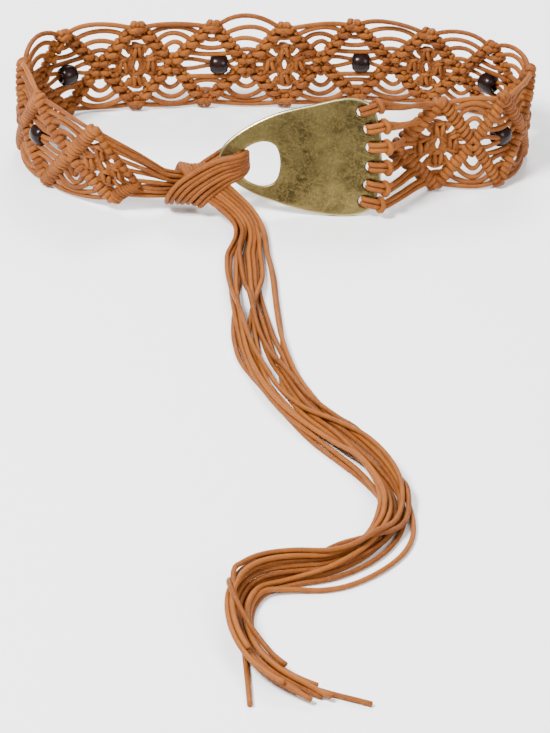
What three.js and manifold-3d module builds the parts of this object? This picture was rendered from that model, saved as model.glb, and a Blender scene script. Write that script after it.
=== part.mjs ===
// A knotted cord belt with a brass plate buckle, standing in a loop on its lower edge.
// Millimetres, +Z up. The origin is on the surface, below the middle of the loop.
import * as THREE from 'three';
import { mergeVertices } from 'three/addons/utils/BufferGeometryUtils.js';
import Module from 'manifold-3d';

const wasm = await Module();
wasm.setup();

// General sizes.
const CLEARANCE = 0.3;
const CORD = 2.7;

// The band: diamonds side by side, closed round in a loop that the buckle completes.
const DIAMONDS = 13;
const LOOP_WIDTH = 293;
const LOOP_DEPTH = 137;
const BAND_HEIGHT = 53;
const RIDGE = 5.9;
const ARC_DEPTH = 2.7;
const ARC_WIDTH = 4.8;
const KNOT_BLOCK_WIDTH = 7.8;
const KNOT_BLOCK_HEIGHT = 8.8;
const KNOT_BLOCK_DEPTH = 5.6;
const KNOT_ACROSS = 0.19;
const KNOT_RISE = 0.175;
const RIDGE_OVERRUN = 2.5;
const GATHER_DROP = 14;

// The beads and the two cords inside them.
const BEAD_DIAMETER = 12.2;
const BEAD_LENGTH = 10.8;
const BEAD_FACE = 8.4;
const BEAD_CORDS_WIDTH = 4.8;
const BEAD_CORDS_DEPTH = 2.4;
const BEAD_PLACES = [0.68, 0.5, 0.68, 0.6, 0.5, 0.4];

// The buckle plate.
const BUCKLE_LENGTH = 92;
const BUCKLE_HEIGHT = 68;
const BUCKLE_THICKNESS = 2.6;
const BUCKLE_EDGE = 0.5;
const BUCKLE_LEAN = THREE.MathUtils.degToRad(16);
const BUCKLE_TIP_SHARE = 0.105;
const BUCKLE_TIP_HEIGHT = 0.49;
const STRAP_HOLE = 5.8;
const STRAP_HOLE_INSET = 6.2;

// The loops hitched through the plate's small holes.
const LOOP_PAIR_WIDTH = 4.4;
const LOOP_STRAND = 2.2;
const CROSSBAR = 2.7;
const CROSSBAR_LENGTH = 7.4;
const LOOP_EDGE_GAP = 0.45;

// The gathered cords at the other end, their half hitch and their free ends.
const BUNDLE = 11;
const WRAP_WIDTH = 19;
const WRAP_THICKNESS = 5.4;
const TAIL_WIDTH = 24;
const TAIL_THICKNESS = 5.6;
const STRAY_HEIGHT = CORD / 2 + 0.06;

// Where each diamond's middle stands: across as a share of the loop's width, back as a share of its depth
// from the buckle's foot, and how far its top leans, as shares of the band's height.
const PLAN = [
  { place: 'towards the knot', across: -0.192, back: 0.073, leanAcross: -0.2, leanBack: -0.05 },
  { place: 'knotted 1', across: -0.334, back: 0.054, leanAcross: -0.2, leanBack: -0.05 },
  { place: 'beaded 1', across: -0.45, back: 0.276, leanAcross: -0.05, leanBack: 0.05 },
  { place: 'knotted 2', across: -0.5, back: 0.59, leanAcross: 0.045, leanBack: 0.025 },
  { place: 'beaded 2', across: -0.423, back: 0.887, leanAcross: -0.015, leanBack: -0.04 },
  { place: 'knotted 3', across: -0.28, back: 0.954, leanAcross: 0.04, leanBack: 0.01 },
  { place: 'beaded 3', across: -0.133, back: 0.974, leanAcross: 0.11, leanBack: -0.035 },
  { place: 'knotted 4', across: 0.022, back: 0.964, leanAcross: -0.01, leanBack: -0.08 },
  { place: 'beaded 4', across: 0.168, back: 0.999, leanAcross: -0.055, leanBack: -0.11 },
  { place: 'knotted 5', across: 0.312, back: 0.938, leanAcross: 0.015, leanBack: -0.235 },
  { place: 'beaded 5', across: 0.439, back: 0.803, leanAcross: -0.03, leanBack: -0.19 },
  { place: 'knotted 6', across: 0.5, back: 0.531, leanAcross: 0.055, leanBack: 0.06 },
  { place: 'beaded 6', across: 0.443, back: 0.272, leanAcross: 0.025, leanBack: 0.08 },
  { place: 'knotted 7', across: 0.31, back: 0.234, leanAcross: 0.035, leanBack: 0.025 },
  { place: 'towards the buckle', across: 0.163, back: 0.117, leanAcross: 0.035, leanBack: 0.1 },
];

// How far the loose cords rise over the top edge between two diamonds, as shares of the band's height.
const TOP_RISES = [0.02, 0.1, 0.12, 0.05, 0.01, 0.12, 0, 0.06, 0.08, 0.08, 0.01, 0];

// Where the two bunches of loose cords beside a diamond leave its ridge, as shares of the way down it, and
// where the sagging cords over a bead and those of the square knots do.
const EDGE_BUNCH = 0.2;
const LOW_BUNCH = 0.6;
const LOW_BUNCH_DEPTH = 0.225;
const SAG_START = 0.45;
const SAG_CREST = 0.215;
const KNOT_CORDS_START = 0.46;

// The buckle's outline, from its tip along the lower edge and back: shares of its length and height.
const BUCKLE_OUTLINE = [
  { along: 0, up: BUCKLE_TIP_HEIGHT },
  { along: 0.05, up: 0.345 },
  { along: 0.165, up: 0.225 },
  { along: 0.33, up: 0.125 },
  { along: 0.56, up: 0.03 },
  { along: 0.807, up: 0 },
  { along: 0.93, up: 0.055 },
  { along: 0.985, up: 0.25 },
  { along: 1, up: 0.5 },
  { along: 0.985, up: 0.75 },
  { along: 0.93, up: 0.945 },
  { along: 0.807, up: 1 },
  { along: 0.56, up: 0.94 },
  { along: 0.33, up: 0.86 },
  { along: 0.12, up: 0.71 },
  { along: 0.02, up: 0.585 },
];

// The large hole at the tip, in the same shares.
const TIP_HOLE = [
  { along: 0.11, up: 0.43 },
  { along: 0.165, up: 0.31 },
  { along: 0.275, up: 0.258 },
  { along: 0.345, up: 0.3 },
  { along: 0.375, up: 0.45 },
  { along: 0.345, up: 0.6 },
  { along: 0.27, up: 0.635 },
  { along: 0.15, up: 0.56 },
];

// The wide end of the outline, counted in its rows, which the loops' holes are spread along.
const WIDE_END = { from: 10.6, to: 5.6 };

// Each loop's hole, as a share of the outline's length round the wide end, and where its cords reach the
// last diamond: the level of the ridge and the share of the way down it from the band's edge.
const LOOPS = [
  { round: 0.075, level: 1, along: 0.12 },
  { round: 0.31, level: 1, along: 0.47 },
  { round: 0.45, level: 1, along: 0.84 },
  { round: 0.585, level: -1, along: 0.84 },
  { round: 0.72, level: -1, along: 0.56 },
  { round: 0.885, level: -1, along: 0.3 },
];

// The cords that leave the first diamond towards the knot, in the same terms.
const GATHERED = [
  { level: 1, along: 0.1 },
  { level: 1, along: 0.36 },
  { level: 1, along: 0.62 },
  { level: 1, along: 0.9 },
  { level: -1, along: 0.66 },
  { level: -1, along: 0.3 },
];

// Small helpers that turn three.js geometry into closed solids and back.
function toSolid(geometry) {
  const bare = geometry.clone();
  bare.deleteAttribute('normal');
  bare.deleteAttribute('uv');
  const merged = mergeVertices(bare, 1e-4);
  const mesh = new wasm.Mesh({
    numProp: 3,
    vertProperties: new Float32Array(merged.attributes.position.array),
    triVerts: new Uint32Array(merged.index.array),
  });
  return new wasm.Manifold(mesh);
}

// Edges shorter than this are closed up, with the slivers beside them.
const SHORTEST_EDGE = 0.03;

// For each point, the first of the points that short edges join it to.
function welds(points, triangles) {
  const first = points.map((_, index) => index);
  const rootOf = (index) => {
    let root = index;
    while (first[root] !== root) root = first[root];
    return root;
  };
  for (const corners of triangles) {
    corners.forEach((corner, k) => {
      const next = corners[(k + 1) % 3];
      if (points[corner].distanceTo(points[next]) < SHORTEST_EDGE) {
        const roots = [rootOf(corner), rootOf(next)];
        first[Math.max(...roots)] = Math.min(...roots);
      }
    });
  }
  return first.map((_, index) => rootOf(index));
}

function toGeometry(solid) {
  const mesh = solid.getMesh();
  const attribute = new THREE.BufferAttribute(new Float32Array(mesh.vertProperties), 3);
  const points = [];
  for (let k = 0; k < attribute.count; k += 1) {
    points.push(new THREE.Vector3().fromBufferAttribute(attribute, k));
  }
  const triangles = [];
  for (let k = 0; k < mesh.triVerts.length; k += 3) {
    triangles.push(Array.from(mesh.triVerts.slice(k, k + 3)));
  }
  const root = welds(points, triangles);
  const welded = triangles.map((corners) => corners.map((corner) => root[corner]));
  const whole = welded.filter(([a, b, c]) => a !== b && b !== c && c !== a);
  const geometry = new THREE.BufferGeometry();
  geometry.setAttribute('position', attribute);
  geometry.setIndex(whole.flat());
  const tidy = mergeVertices(geometry.toNonIndexed(), 1e-5);
  tidy.computeVertexNormals();
  return tidy;
}

function joined(solids) {
  return solids.reduce((whole, solid) => whole.add(solid));
}

// A closed body through rings of points, all with the same count, with flat ends.
function loft(rings) {
  const sides = rings[0].length;
  const positions = rings.flat().flatMap((point) => [point.x, point.y, point.z]);
  const faces = [];
  for (let ring = 0; ring < rings.length - 1; ring += 1) {
    for (let side = 0; side < sides; side += 1) {
      const next = (side + 1) % sides;
      const a = ring * sides + side;
      const b = ring * sides + next;
      const c = a + sides;
      const d = b + sides;
      faces.push(a, b, d, a, d, c);
    }
  }
  const last = (rings.length - 1) * sides;
  for (let side = 1; side < sides - 1; side += 1) {
    faces.push(0, side + 1, side);
    faces.push(last, last + side, last + side + 1);
  }
  const geometry = new THREE.BufferGeometry();
  geometry.setAttribute('position', new THREE.Float32BufferAttribute(positions, 3));
  geometry.setIndex(faces);
  return geometry;
}

// An oval section of a strap of cords: wide along one direction and thick along the other.
function ovalRing(centre, wide, thick, width, thickness, sides) {
  return Array.from({ length: sides }, (_, side) => {
    const turn = (2 * Math.PI * (side + 0.5)) / sides;
    return centre.clone()
      .addScaledVector(wide, (Math.cos(turn) * width) / 2)
      .addScaledVector(thick, (Math.sin(turn) * thickness) / 2);
  });
}

// A strap along a smooth route: each row has its point, the direction of its width and its two sizes.
function strap(rows, steps, sides) {
  const centres = new THREE.CatmullRomCurve3(rows.map((row) => row.at));
  const wides = new THREE.CatmullRomCurve3(rows.map((row) => row.wide));
  const sizes = new THREE.CatmullRomCurve3(rows.map((row) => new THREE.Vector3(row.width, row.thickness, 0)));
  const rings = [];
  for (let step = 0; step <= steps; step += 1) {
    const share = step / steps;
    const along = centres.getTangent(share);
    const thick = new THREE.Vector3().crossVectors(along, wides.getPoint(share)).normalize();
    const wide = new THREE.Vector3().crossVectors(thick, along).normalize();
    const size = sizes.getPoint(share);
    rings.push(ovalRing(centres.getPoint(share), wide, thick, size.x, size.y, sides));
  }
  return toSolid(loft(rings));
}

// The plan of the loop. The place along the band is counted in diamonds, from 0 at the first one.
const planCurve = new THREE.CatmullRomCurve3(
  PLAN.map((row) => new THREE.Vector3(row.across * LOOP_WIDTH, row.back * LOOP_DEPTH, 0)),
  false,
  'catmullrom',
  0.5,
);
const leanCurve = new THREE.CatmullRomCurve3(
  PLAN.map((row) => new THREE.Vector3(row.leanAcross, row.leanBack, 0)),
  false,
  'catmullrom',
  0.5,
);
const planShare = (diamond) => (diamond + 1) / (PLAN.length - 1);
const planPoints = Array.from({ length: 121 }, (_, k) => {
  const diamond = (k / 120) * (DIAMONDS - 1);
  return planCurve.getPoint(planShare(diamond));
});
const bandLength = planPoints.slice(1).reduce((sum, point, k) => sum + point.distanceTo(planPoints[k]), 0);

// The flat band: x along it, y up, z towards the inside of the loop.
const PITCH = bandLength / (DIAMONDS - 1);
const BOTTOM = RIDGE / 2;
const TOP = BOTTOM + BAND_HEIGHT;
const MIDDLE = BOTTOM + BAND_HEIGHT / 2;
const RIDGE_SLOPE = Math.atan2(BAND_HEIGHT, PITCH);

// Bends a point of the flat band round the loop.
function bent(point) {
  const diamond = point.x / PITCH;
  const share = THREE.MathUtils.clamp(planShare(diamond), 0, 1);
  const tangent = planCurve.getTangent(share).setZ(0).normalize();
  const inward = new THREE.Vector3(tangent.y, -tangent.x, 0);
  const lean = leanCurve.getPoint(share);
  const raised = point.y - MIDDLE;
  const drop = Math.max(0, -2 * diamond) * Math.min(1, point.y / MIDDLE) * GATHER_DROP;
  return planCurve.getPoint(share)
    .addScaledVector(inward, point.z)
    .add(new THREE.Vector3(lean.x * raised, lean.y * raised, point.y - drop));
}

function bentGeometry(geometry) {
  const position = geometry.attributes.position;
  const point = new THREE.Vector3();
  for (let k = 0; k < position.count; k += 1) {
    const moved = bent(point.fromBufferAttribute(position, k));
    position.setXYZ(k, moved.x, moved.y, moved.z);
  }
  geometry.computeVertexNormals();
  return geometry;
}

// A point of the ridge that runs from the band's edge (level 1 top, -1 bottom) at one diamond to the
// crossing beside it (side 1 or -1): share 0 is at the edge and 1 at the crossing.
function ridgePoint(diamond, side, level, share) {
  return new THREE.Vector3(
    (diamond + (side * share) / 2) * PITCH,
    MIDDLE + level * (1 - share) * (BAND_HEIGHT / 2),
    0,
  );
}

function ridge(diamond, side, level, thickness) {
  const edge = ridgePoint(diamond, side, level, 0);
  const crossing = ridgePoint(diamond, side, level, 1);
  const direction = crossing.clone().sub(edge).normalize();
  const grow = (thickness - RIDGE) / 2;
  edge.addScaledVector(direction, -RIDGE_OVERRUN - grow);
  crossing.addScaledVector(direction, RIDGE / 4 + grow);
  const geometry = new THREE.BoxGeometry(thickness * 0.9, edge.distanceTo(crossing), thickness, 1, 2, 1);
  const turn = new THREE.Quaternion().setFromUnitVectors(new THREE.Vector3(0, 1, 0), direction);
  geometry.applyQuaternion(turn);
  const middle = edge.add(crossing).multiplyScalar(0.5);
  return geometry.translate(middle.x, middle.y, 0);
}

// A flat strip of cords along a curve in the plane of the band.
function strip(curve, width, depth, steps) {
  const section = new THREE.Shape([
    new THREE.Vector2(-depth / 2, -width / 2),
    new THREE.Vector2(depth / 2, -width / 2),
    new THREE.Vector2(depth / 2, width / 2),
    new THREE.Vector2(-depth / 2, width / 2),
  ]);
  return new THREE.ExtrudeGeometry(section, { steps, extrudePath: curve, bevelEnabled: false });
}

function arch(start, end, crest) {
  const control = new THREE.Vector3((start.x + end.x) / 2, 2 * crest - (start.y + end.y) / 2, 0);
  return new THREE.QuadraticBezierCurve3(start, control, end);
}

// The loose cords between two diamonds, outside the crossing: a bunch along the edge and one below it.
function edgeArcs(diamond, level) {
  const rise = level > 0 ? TOP_RISES[diamond] : 0;
  const edge = level > 0 ? TOP : BOTTOM;
  const outer = arch(
    ridgePoint(diamond, 1, level, EDGE_BUNCH),
    ridgePoint(diamond + 1, -1, level, EDGE_BUNCH),
    edge + level * rise * BAND_HEIGHT,
  );
  const inner = arch(
    ridgePoint(diamond, 1, level, LOW_BUNCH),
    ridgePoint(diamond + 1, -1, level, LOW_BUNCH),
    edge - level * LOW_BUNCH_DEPTH * BAND_HEIGHT,
  );
  return [strip(outer, ARC_WIDTH, ARC_DEPTH, 4), strip(inner, ARC_WIDTH, ARC_DEPTH, 3)];
}

// Four square knots inside a diamond, and the cords that join them to each other and to the ridges.
function knottedCentre(diamond) {
  const centre = new THREE.Vector3(diamond * PITCH, MIDDLE, 0);
  const side = PITCH * KNOT_ACROSS;
  const rise = BAND_HEIGHT * KNOT_RISE;
  const pieces = [];
  for (const sign of [-1, 1]) {
    const beside = centre.clone().setX(centre.x + sign * side);
    const over = centre.clone().setY(centre.y + sign * rise);
    for (const middle of [beside, over]) {
      const block = new THREE.BoxGeometry(KNOT_BLOCK_WIDTH, KNOT_BLOCK_HEIGHT, KNOT_BLOCK_DEPTH);
      pieces.push(block.translate(middle.x, middle.y, 0));
    }
    const crossing = ridgePoint(diamond, sign, 1, 1);
    pieces.push(strip(new THREE.LineCurve3(crossing, beside), ARC_WIDTH, ARC_DEPTH, 1));
    for (const level of [-1, 1]) {
      const knot = centre.clone().setY(centre.y + level * rise);
      const onRidge = ridgePoint(diamond, sign, level, KNOT_CORDS_START);
      pieces.push(strip(new THREE.LineCurve3(onRidge, knot), ARC_WIDTH * 0.8, ARC_DEPTH, 1));
      pieces.push(strip(new THREE.LineCurve3(beside, knot), ARC_WIDTH * 0.6, ARC_DEPTH, 1));
    }
  }
  return pieces;
}

// The pair of cords that carries a bead, and the sagging cords above and below it.
function beadedCentre(diamond) {
  const left = ridgePoint(diamond, -1, 1, 1);
  const right = ridgePoint(diamond, 1, 1, 1);
  const pieces = [strip(new THREE.LineCurve3(left, right), BEAD_CORDS_WIDTH, BEAD_CORDS_DEPTH, 1)];
  for (const level of [-1, 1]) {
    const from = ridgePoint(diamond, -1, level, SAG_START);
    const to = ridgePoint(diamond, 1, level, SAG_START);
    const sagging = arch(from, to, MIDDLE + level * SAG_CREST * BAND_HEIGHT);
    pieces.push(strip(sagging, ARC_WIDTH, ARC_DEPTH, 3));
  }
  return pieces;
}

function cordNet() {
  const pieces = [];
  for (let diamond = 0; diamond < DIAMONDS; diamond += 1) {
    for (const side of [-1, 1]) {
      for (const level of [-1, 1]) {
        pieces.push(ridge(diamond, side, level, RIDGE));
      }
    }
    pieces.push(...(diamond % 2 === 0 ? knottedCentre(diamond) : beadedCentre(diamond)));
    if (diamond < DIAMONDS - 1) {
      pieces.push(...edgeArcs(diamond, 1), ...edgeArcs(diamond, -1));
    }
  }
  const flat = joined(pieces.map(toSolid));
  const bandSpan = (DIAMONDS + 2) * PITCH;
  const below = new THREE.BoxGeometry(bandSpan, BAND_HEIGHT, BAND_HEIGHT);
  below.translate(((DIAMONDS - 1) * PITCH) / 2, -BAND_HEIGHT / 2, 0);
  return bentGeometry(toGeometry(flat.subtract(toSolid(below))));
}

// The two ends of the straight stretch that a bead is threaded on.
function beadStretch(diamond) {
  const leave = (BEAD_CORDS_WIDTH / 2 + RIDGE / 2 / Math.cos(RIDGE_SLOPE)) / Math.tan(RIDGE_SLOPE);
  const left = ridgePoint(diamond, -1, 1, 1);
  const right = ridgePoint(diamond, 1, 1, 1);
  return [bent(left.setX(left.x + leave)), bent(right.setX(right.x - leave))];
}

function bead(diamond, place) {
  const bore = Math.hypot(BEAD_CORDS_WIDTH, BEAD_CORDS_DEPTH) / 2 + CLEARANCE;
  const half = BEAD_LENGTH / 2;
  const profile = [
    new THREE.Vector2(bore, -half),
    new THREE.Vector2(BEAD_FACE / 2, -half),
    new THREE.Vector2(BEAD_DIAMETER / 2, -half * 0.32),
    new THREE.Vector2(BEAD_DIAMETER / 2, half * 0.32),
    new THREE.Vector2(BEAD_FACE / 2, half),
    new THREE.Vector2(bore, half),
    new THREE.Vector2(bore, -half),
  ];
  const [start, end] = beadStretch(diamond);
  const direction = end.clone().sub(start).normalize();
  const geometry = new THREE.LatheGeometry(profile, 12);
  geometry.applyQuaternion(new THREE.Quaternion().setFromUnitVectors(new THREE.Vector3(0, 1, 0), direction));
  const middle = start.lerp(end, place);
  return toGeometry(toSolid(geometry.translate(middle.x, middle.y, middle.z)));
}

// The buckle's own frame: along it, up its face, and out of its front.
const buckleUp = new THREE.Vector3(0, Math.sin(BUCKLE_LEAN), Math.cos(BUCKLE_LEAN));
const buckleFront = new THREE.Vector3(0, -Math.cos(BUCKLE_LEAN), Math.sin(BUCKLE_LEAN));
const BUCKLE_TIP = -BUCKLE_TIP_SHARE * LOOP_WIDTH;
const BUCKLE_FOOT = (BUCKLE_THICKNESS / 2) * Math.sin(BUCKLE_LEAN);

function onBuckle(along, up, out) {
  return new THREE.Vector3(BUCKLE_TIP + along, 0, BUCKLE_FOOT)
    .addScaledVector(buckleUp, up)
    .addScaledVector(buckleFront, out);
}

function buckleCurve(rows) {
  const points = rows.map((row) => new THREE.Vector3(row.along * BUCKLE_LENGTH, row.up * BUCKLE_HEIGHT, 0));
  return new THREE.CatmullRomCurve3(points, true, 'centripetal');
}

// An outline of evenly spaced points, moved outwards by the given amount.
function grownOutline(rows, count, grow) {
  const points = buckleCurve(rows).getSpacedPoints(count).slice(0, count);
  return points.map((point, k) => {
    const tangent = points[(k + 1) % count].clone().sub(points[(k + count - 1) % count]).normalize();
    return new THREE.Vector2(point.x + tangent.y * grow, point.y - tangent.x * grow);
  });
}

// The edge point, outward direction and hole centre of each loop, round the plate's wide end.
function strapHoles() {
  const curve = buckleCurve(BUCKLE_OUTLINE);
  return LOOPS.map((row) => {
    const share = THREE.MathUtils.lerp(WIDE_END.from, WIDE_END.to, row.round) / BUCKLE_OUTLINE.length;
    const edge = curve.getPoint(share);
    const tangent = curve.getTangent(share);
    const outward = new THREE.Vector3(tangent.y, -tangent.x, 0).normalize();
    return { edge, outward, hole: edge.clone().addScaledVector(outward, -STRAP_HOLE_INSET) };
  });
}

const buckleFrame = new THREE.Matrix4().makeBasis(new THREE.Vector3(1, 0, 0), buckleUp, buckleFront);
buckleFrame.setPosition(onBuckle(0, 0, 0));

// The plate with its large hole, grown by the given amount all round.
function plateBlank(grow) {
  const shape = new THREE.Shape(grownOutline(BUCKLE_OUTLINE, 36, grow - BUCKLE_EDGE));
  shape.holes.push(new THREE.Path(grownOutline(TIP_HOLE, 18, BUCKLE_EDGE - grow)));
  const thickness = BUCKLE_THICKNESS + 2 * grow;
  const geometry = new THREE.ExtrudeGeometry(shape, {
    depth: thickness - 2 * BUCKLE_EDGE,
    bevelEnabled: true,
    bevelThickness: BUCKLE_EDGE,
    bevelSize: BUCKLE_EDGE,
    bevelSegments: 1,
  });
  geometry.translate(0, 0, BUCKLE_EDGE - thickness / 2);
  return toSolid(geometry.applyMatrix4(buckleFrame));
}

function bucklePlate() {
  const drills = strapHoles().map(({ hole }) => {
    const drill = new THREE.CylinderGeometry(STRAP_HOLE / 2, STRAP_HOLE / 2, 2 * BUCKLE_THICKNESS, 10, 1);
    drill.rotateX(Math.PI / 2);
    drill.translate(hole.x, hole.y, 0);
    return toSolid(drill.applyMatrix4(buckleFrame));
  });
  return toGeometry(plateBlank(0).subtract(joined(drills)));
}

// A diamond's ridges with a clearance round them, which the cords of another piece stop at.
function ridgeRelief(diamond) {
  const thickness = RIDGE + 2 * CLEARANCE;
  const corners = [[-1, -1], [-1, 1], [1, -1], [1, 1]];
  const ridges = corners.map(([side, level]) => ridge(diamond, side, level, thickness));
  return joined(ridges.map((geometry) => toSolid(bentGeometry(geometry))));
}

// One loop of two strands through its hole, round the plate's edge and under its crossbar. Its strands then
// lead to the last diamond, bending after this share of the way.
const LEAD_BEND = 0.3;

function cordLoop(index, relief) {
  const { edge, outward, hole } = strapHoles()[index];
  const row = LOOPS[index];
  const half = BUCKLE_THICKNESS / 2 + CLEARANCE;
  const inner = [-STRAP_HOLE_INSET + LOOP_STRAND / 2, LOOP_EDGE_GAP];
  const outer = [-STRAP_HOLE_INSET - LOOP_STRAND / 2, LOOP_EDGE_GAP + LOOP_STRAND];
  const corner = LOOP_STRAND * 0.6;
  const shape = new THREE.Shape([
    new THREE.Vector2(outer[0] + corner, -half - LOOP_STRAND),
    new THREE.Vector2(outer[1] - corner, -half - LOOP_STRAND),
    new THREE.Vector2(outer[1], -half - LOOP_STRAND + corner),
    new THREE.Vector2(outer[1], half + LOOP_STRAND - corner),
    new THREE.Vector2(outer[1] - corner, half + LOOP_STRAND),
    new THREE.Vector2(outer[0] + corner, half + LOOP_STRAND),
    new THREE.Vector2(outer[0], half + LOOP_STRAND - corner),
    new THREE.Vector2(outer[0], -half - LOOP_STRAND + corner),
  ]);
  shape.holes.push(new THREE.Path([
    new THREE.Vector2(inner[0], -half),
    new THREE.Vector2(inner[0], half),
    new THREE.Vector2(inner[1], half),
    new THREE.Vector2(inner[1], -half),
  ]));
  const ring = new THREE.ExtrudeGeometry(shape, { depth: LOOP_PAIR_WIDTH, bevelEnabled: false });
  ring.translate(0, 0, -LOOP_PAIR_WIDTH / 2);
  const crossbar = new THREE.CylinderGeometry(CROSSBAR / 2, CROSSBAR / 2, CROSSBAR_LENGTH, 6, 1);
  crossbar.rotateX(Math.PI / 2);
  crossbar.translate(outer[1] - CROSSBAR / 3, half + LOOP_STRAND, 0);
  const awayWorld = new THREE.Vector3(outward.x, 0, 0).addScaledVector(buckleUp, outward.y);
  const sideWorld = new THREE.Vector3().crossVectors(awayWorld, buckleFront);
  const frame = new THREE.Matrix4().makeBasis(awayWorld, buckleFront, sideWorld);
  frame.setPosition(onBuckle(edge.x, edge.y, 0));
  const target = bent(ridgePoint(DIAMONDS - 1, 1, row.level, row.along));
  const start = new THREE.Vector3(outer[1] - LOOP_STRAND / 2, half + LOOP_STRAND / 2, 0).applyMatrix4(frame);
  const bend = start.clone().lerp(target, LEAD_BEND);
  bend.addScaledVector(awayWorld, CORD).addScaledVector(buckleFront, CORD / 2);
  const near = { wide: sideWorld, width: 2 * CORD, thickness: CORD };
  const far = { wide: new THREE.Vector3(0, 0, 1), width: LOOP_PAIR_WIDTH * 0.75, thickness: CORD * 0.9 };
  const lead = strap([{ at: start, ...near }, { at: bend, ...near }, { at: target, ...far }], 4, 4);
  const whole = toSolid(ring.applyMatrix4(frame)).add(toSolid(crossbar.applyMatrix4(frame))).add(lead);
  return toGeometry(whole.subtract(relief));
}

// The route of the gathered cords, from the first diamond to where their free ends leave the hitch. Places
// are across, back and up from the plate's tip, in bundles of the gathered cords; widths and thicknesses are
// shares of the bundle while it stands and of the wrap once it turns.
const HITCH = {
  standing: [
    { at: [-2.93, -0.15, -1.4], wide: [0, 0, 1], width: 1.3, thickness: 0.75 },
    { at: [-1.56, 0.25, -1.04], wide: [0, 0, 1], width: 1.2, thickness: 0.85 },
    { at: [-0.2, 0.57, -0.49], wide: [-0.2, 0, 1], width: 1.1, thickness: 0.95 },
    { at: [0.98, 0.73, 0.01], wide: [-0.3, 0, 1], width: 1.3, thickness: 0.8 },
    { at: [1.66, 0.16, 0.15], wide: [0, 0, 1], width: 1.4, thickness: 0.75 },
  ],
  wrap: [
    { at: [1.66, 0.16, 0.15], wide: [0, 0, 1], width: 0.8, thickness: 1.5 },
    { at: [1.35, -0.43, 0.15], wide: [-0.1, 0, 1], width: 0.84, thickness: 1.1 },
    { at: [0.53, -0.64, -0.22], wide: [-0.4, 0, 0.9], width: 0.92, thickness: 1 },
    { at: [-0.65, -0.88, -0.95], wide: [-0.7, 0, 0.7], width: 1.05, thickness: 1 },
    { at: [-1.47, -0.85, -1.85], wide: [-1, 0, 0.2], width: 1.3, thickness: 1 },
    { at: [-1.75, -0.29, -2.27], wide: [-1, 0, 0], width: 1.2, thickness: 1 },
    { at: [-2.02, 0.53, -2.08], wide: [-1, 0, 0], width: 1.1, thickness: 1 },
    { at: [-2.2, 0.94, -1.31], wide: [-1, 0.1, 0], width: 0.95, thickness: 1 },
    { at: [-2.02, 0.75, -0.49], wide: [-1, 0.2, 0], width: 0.85, thickness: 1 },
    { at: [-1.47, 0.07, -0.22], wide: [-0.9, -0.2, -0.2], width: 0.8, thickness: 1 },
    { at: [-0.84, -0.43, -0.76], wide: [-0.7, 0, -0.6], width: 0.8, thickness: 1.1 },
    { at: [-0.2, -0.7, -1.4], wide: [-0.7, -0.1, -0.7], width: 0.8, thickness: 1.2 },
    { at: [0.44, -1.2, -1.9], wide: [-0.9, -0.4, -0.1], width: 0.84, thickness: 1.25 },
  ],
};

// The route of the free ends once they leave the hitch, across from the loop's middle, back from the
// buckle's foot line and up, and what the bundle measures along it, as shares of its full sizes.
const TAIL_ROUTE = [
  [-22.5, -11, 7.6],
  [-18.5, -26, 3.6],
  [-15, -46, 2.9],
  [-13.5, -68, 2.8],
  [-12, -98, 2.8],
  [-8, -138, 2.8],
  [0, -174, 3],
  [14, -205, 3.6],
  [34, -233, 3.6],
  [51, -259, 3.4],
  [61, -284, 3.6],
  [59, -309, 3.8],
  [46, -329, 3.8],
  [27, -343, 3.6],
  [8, -349, 3.6],
  [-7, -356, 3.8],
  [-14, -371, 3.8],
  [-14.5, -389, 3.6],
  [-9, -408, 3.2],
  [3, -424, 2.9],
  [18, -435, 2.7],
  [32, -443, 2.4],
];
const TAIL_SECTIONS = [
  { share: 0, width: 0.66, thickness: 1.2 },
  { share: 0.05, width: 0.78, thickness: 1.15 },
  { share: 0.12, width: 0.92, thickness: 1 },
  { share: 0.3, width: 1, thickness: 1 },
  { share: 0.42, width: 0.66, thickness: 1.28 },
  { share: 0.6, width: 0.6, thickness: 1.35 },
  { share: 0.72, width: 0.62, thickness: 1.28 },
  { share: 0.82, width: 0.6, thickness: 1.35 },
  { share: 0.9, width: 0.66, thickness: 1.1 },
  { share: 1, width: 0.4, thickness: 0.8 },
];

// Single cords that leave the bundle and come back to it: from and to as shares of the route, and how far
// out, in cords, to the right (positive) or the left of the way it runs.
const STRAYS = [
  { from: 0.03, to: 0.36, out: -5.6 },
  { from: 0.5, to: 0.68, out: 4.6 },
];

// The end that falls away from the bundle on its own.
const STRAY_END = [
  [-14, -386, 2.6],
  [-13.5, -400, STRAY_HEIGHT],
  [-12, -416, STRAY_HEIGHT],
  [-10.5, -436, STRAY_HEIGHT],
];

const vectorOf = (place) => new THREE.Vector3(...place);

// A place of the hitch, no lower than cords of the given thickness lie.
function hitchPlace(place, thickness) {
  const point = vectorOf(place).multiplyScalar(BUNDLE).add(onBuckle(0, BUCKLE_TIP_HEIGHT * BUCKLE_HEIGHT, 0));
  return point.setZ(Math.max(point.z, thickness / 2));
}

function hitchRows(rows, width, thickness) {
  return rows.map((row) => ({
    at: hitchPlace(row.at, row.thickness * thickness),
    wide: vectorOf(row.wide),
    width: row.width * width,
    thickness: row.thickness * thickness,
  }));
}

const standingRows = hitchRows(HITCH.standing, BUNDLE, BUNDLE);
const wrapRows = hitchRows(HITCH.wrap, WRAP_WIDTH, WRAP_THICKNESS);
const wrapCurve = new THREE.CatmullRomCurve3(wrapRows.map((row) => row.at));
const hitchEnd = wrapCurve.getPoint(1);
const hitchEndDirection = wrapCurve.getTangent(1);

// The cords fanning in from the first diamond, the bundle through the plate's hole, and the half hitch. The
// fanned cords bend after this share of their way.
const FAN_BEND = 0.55;

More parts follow.
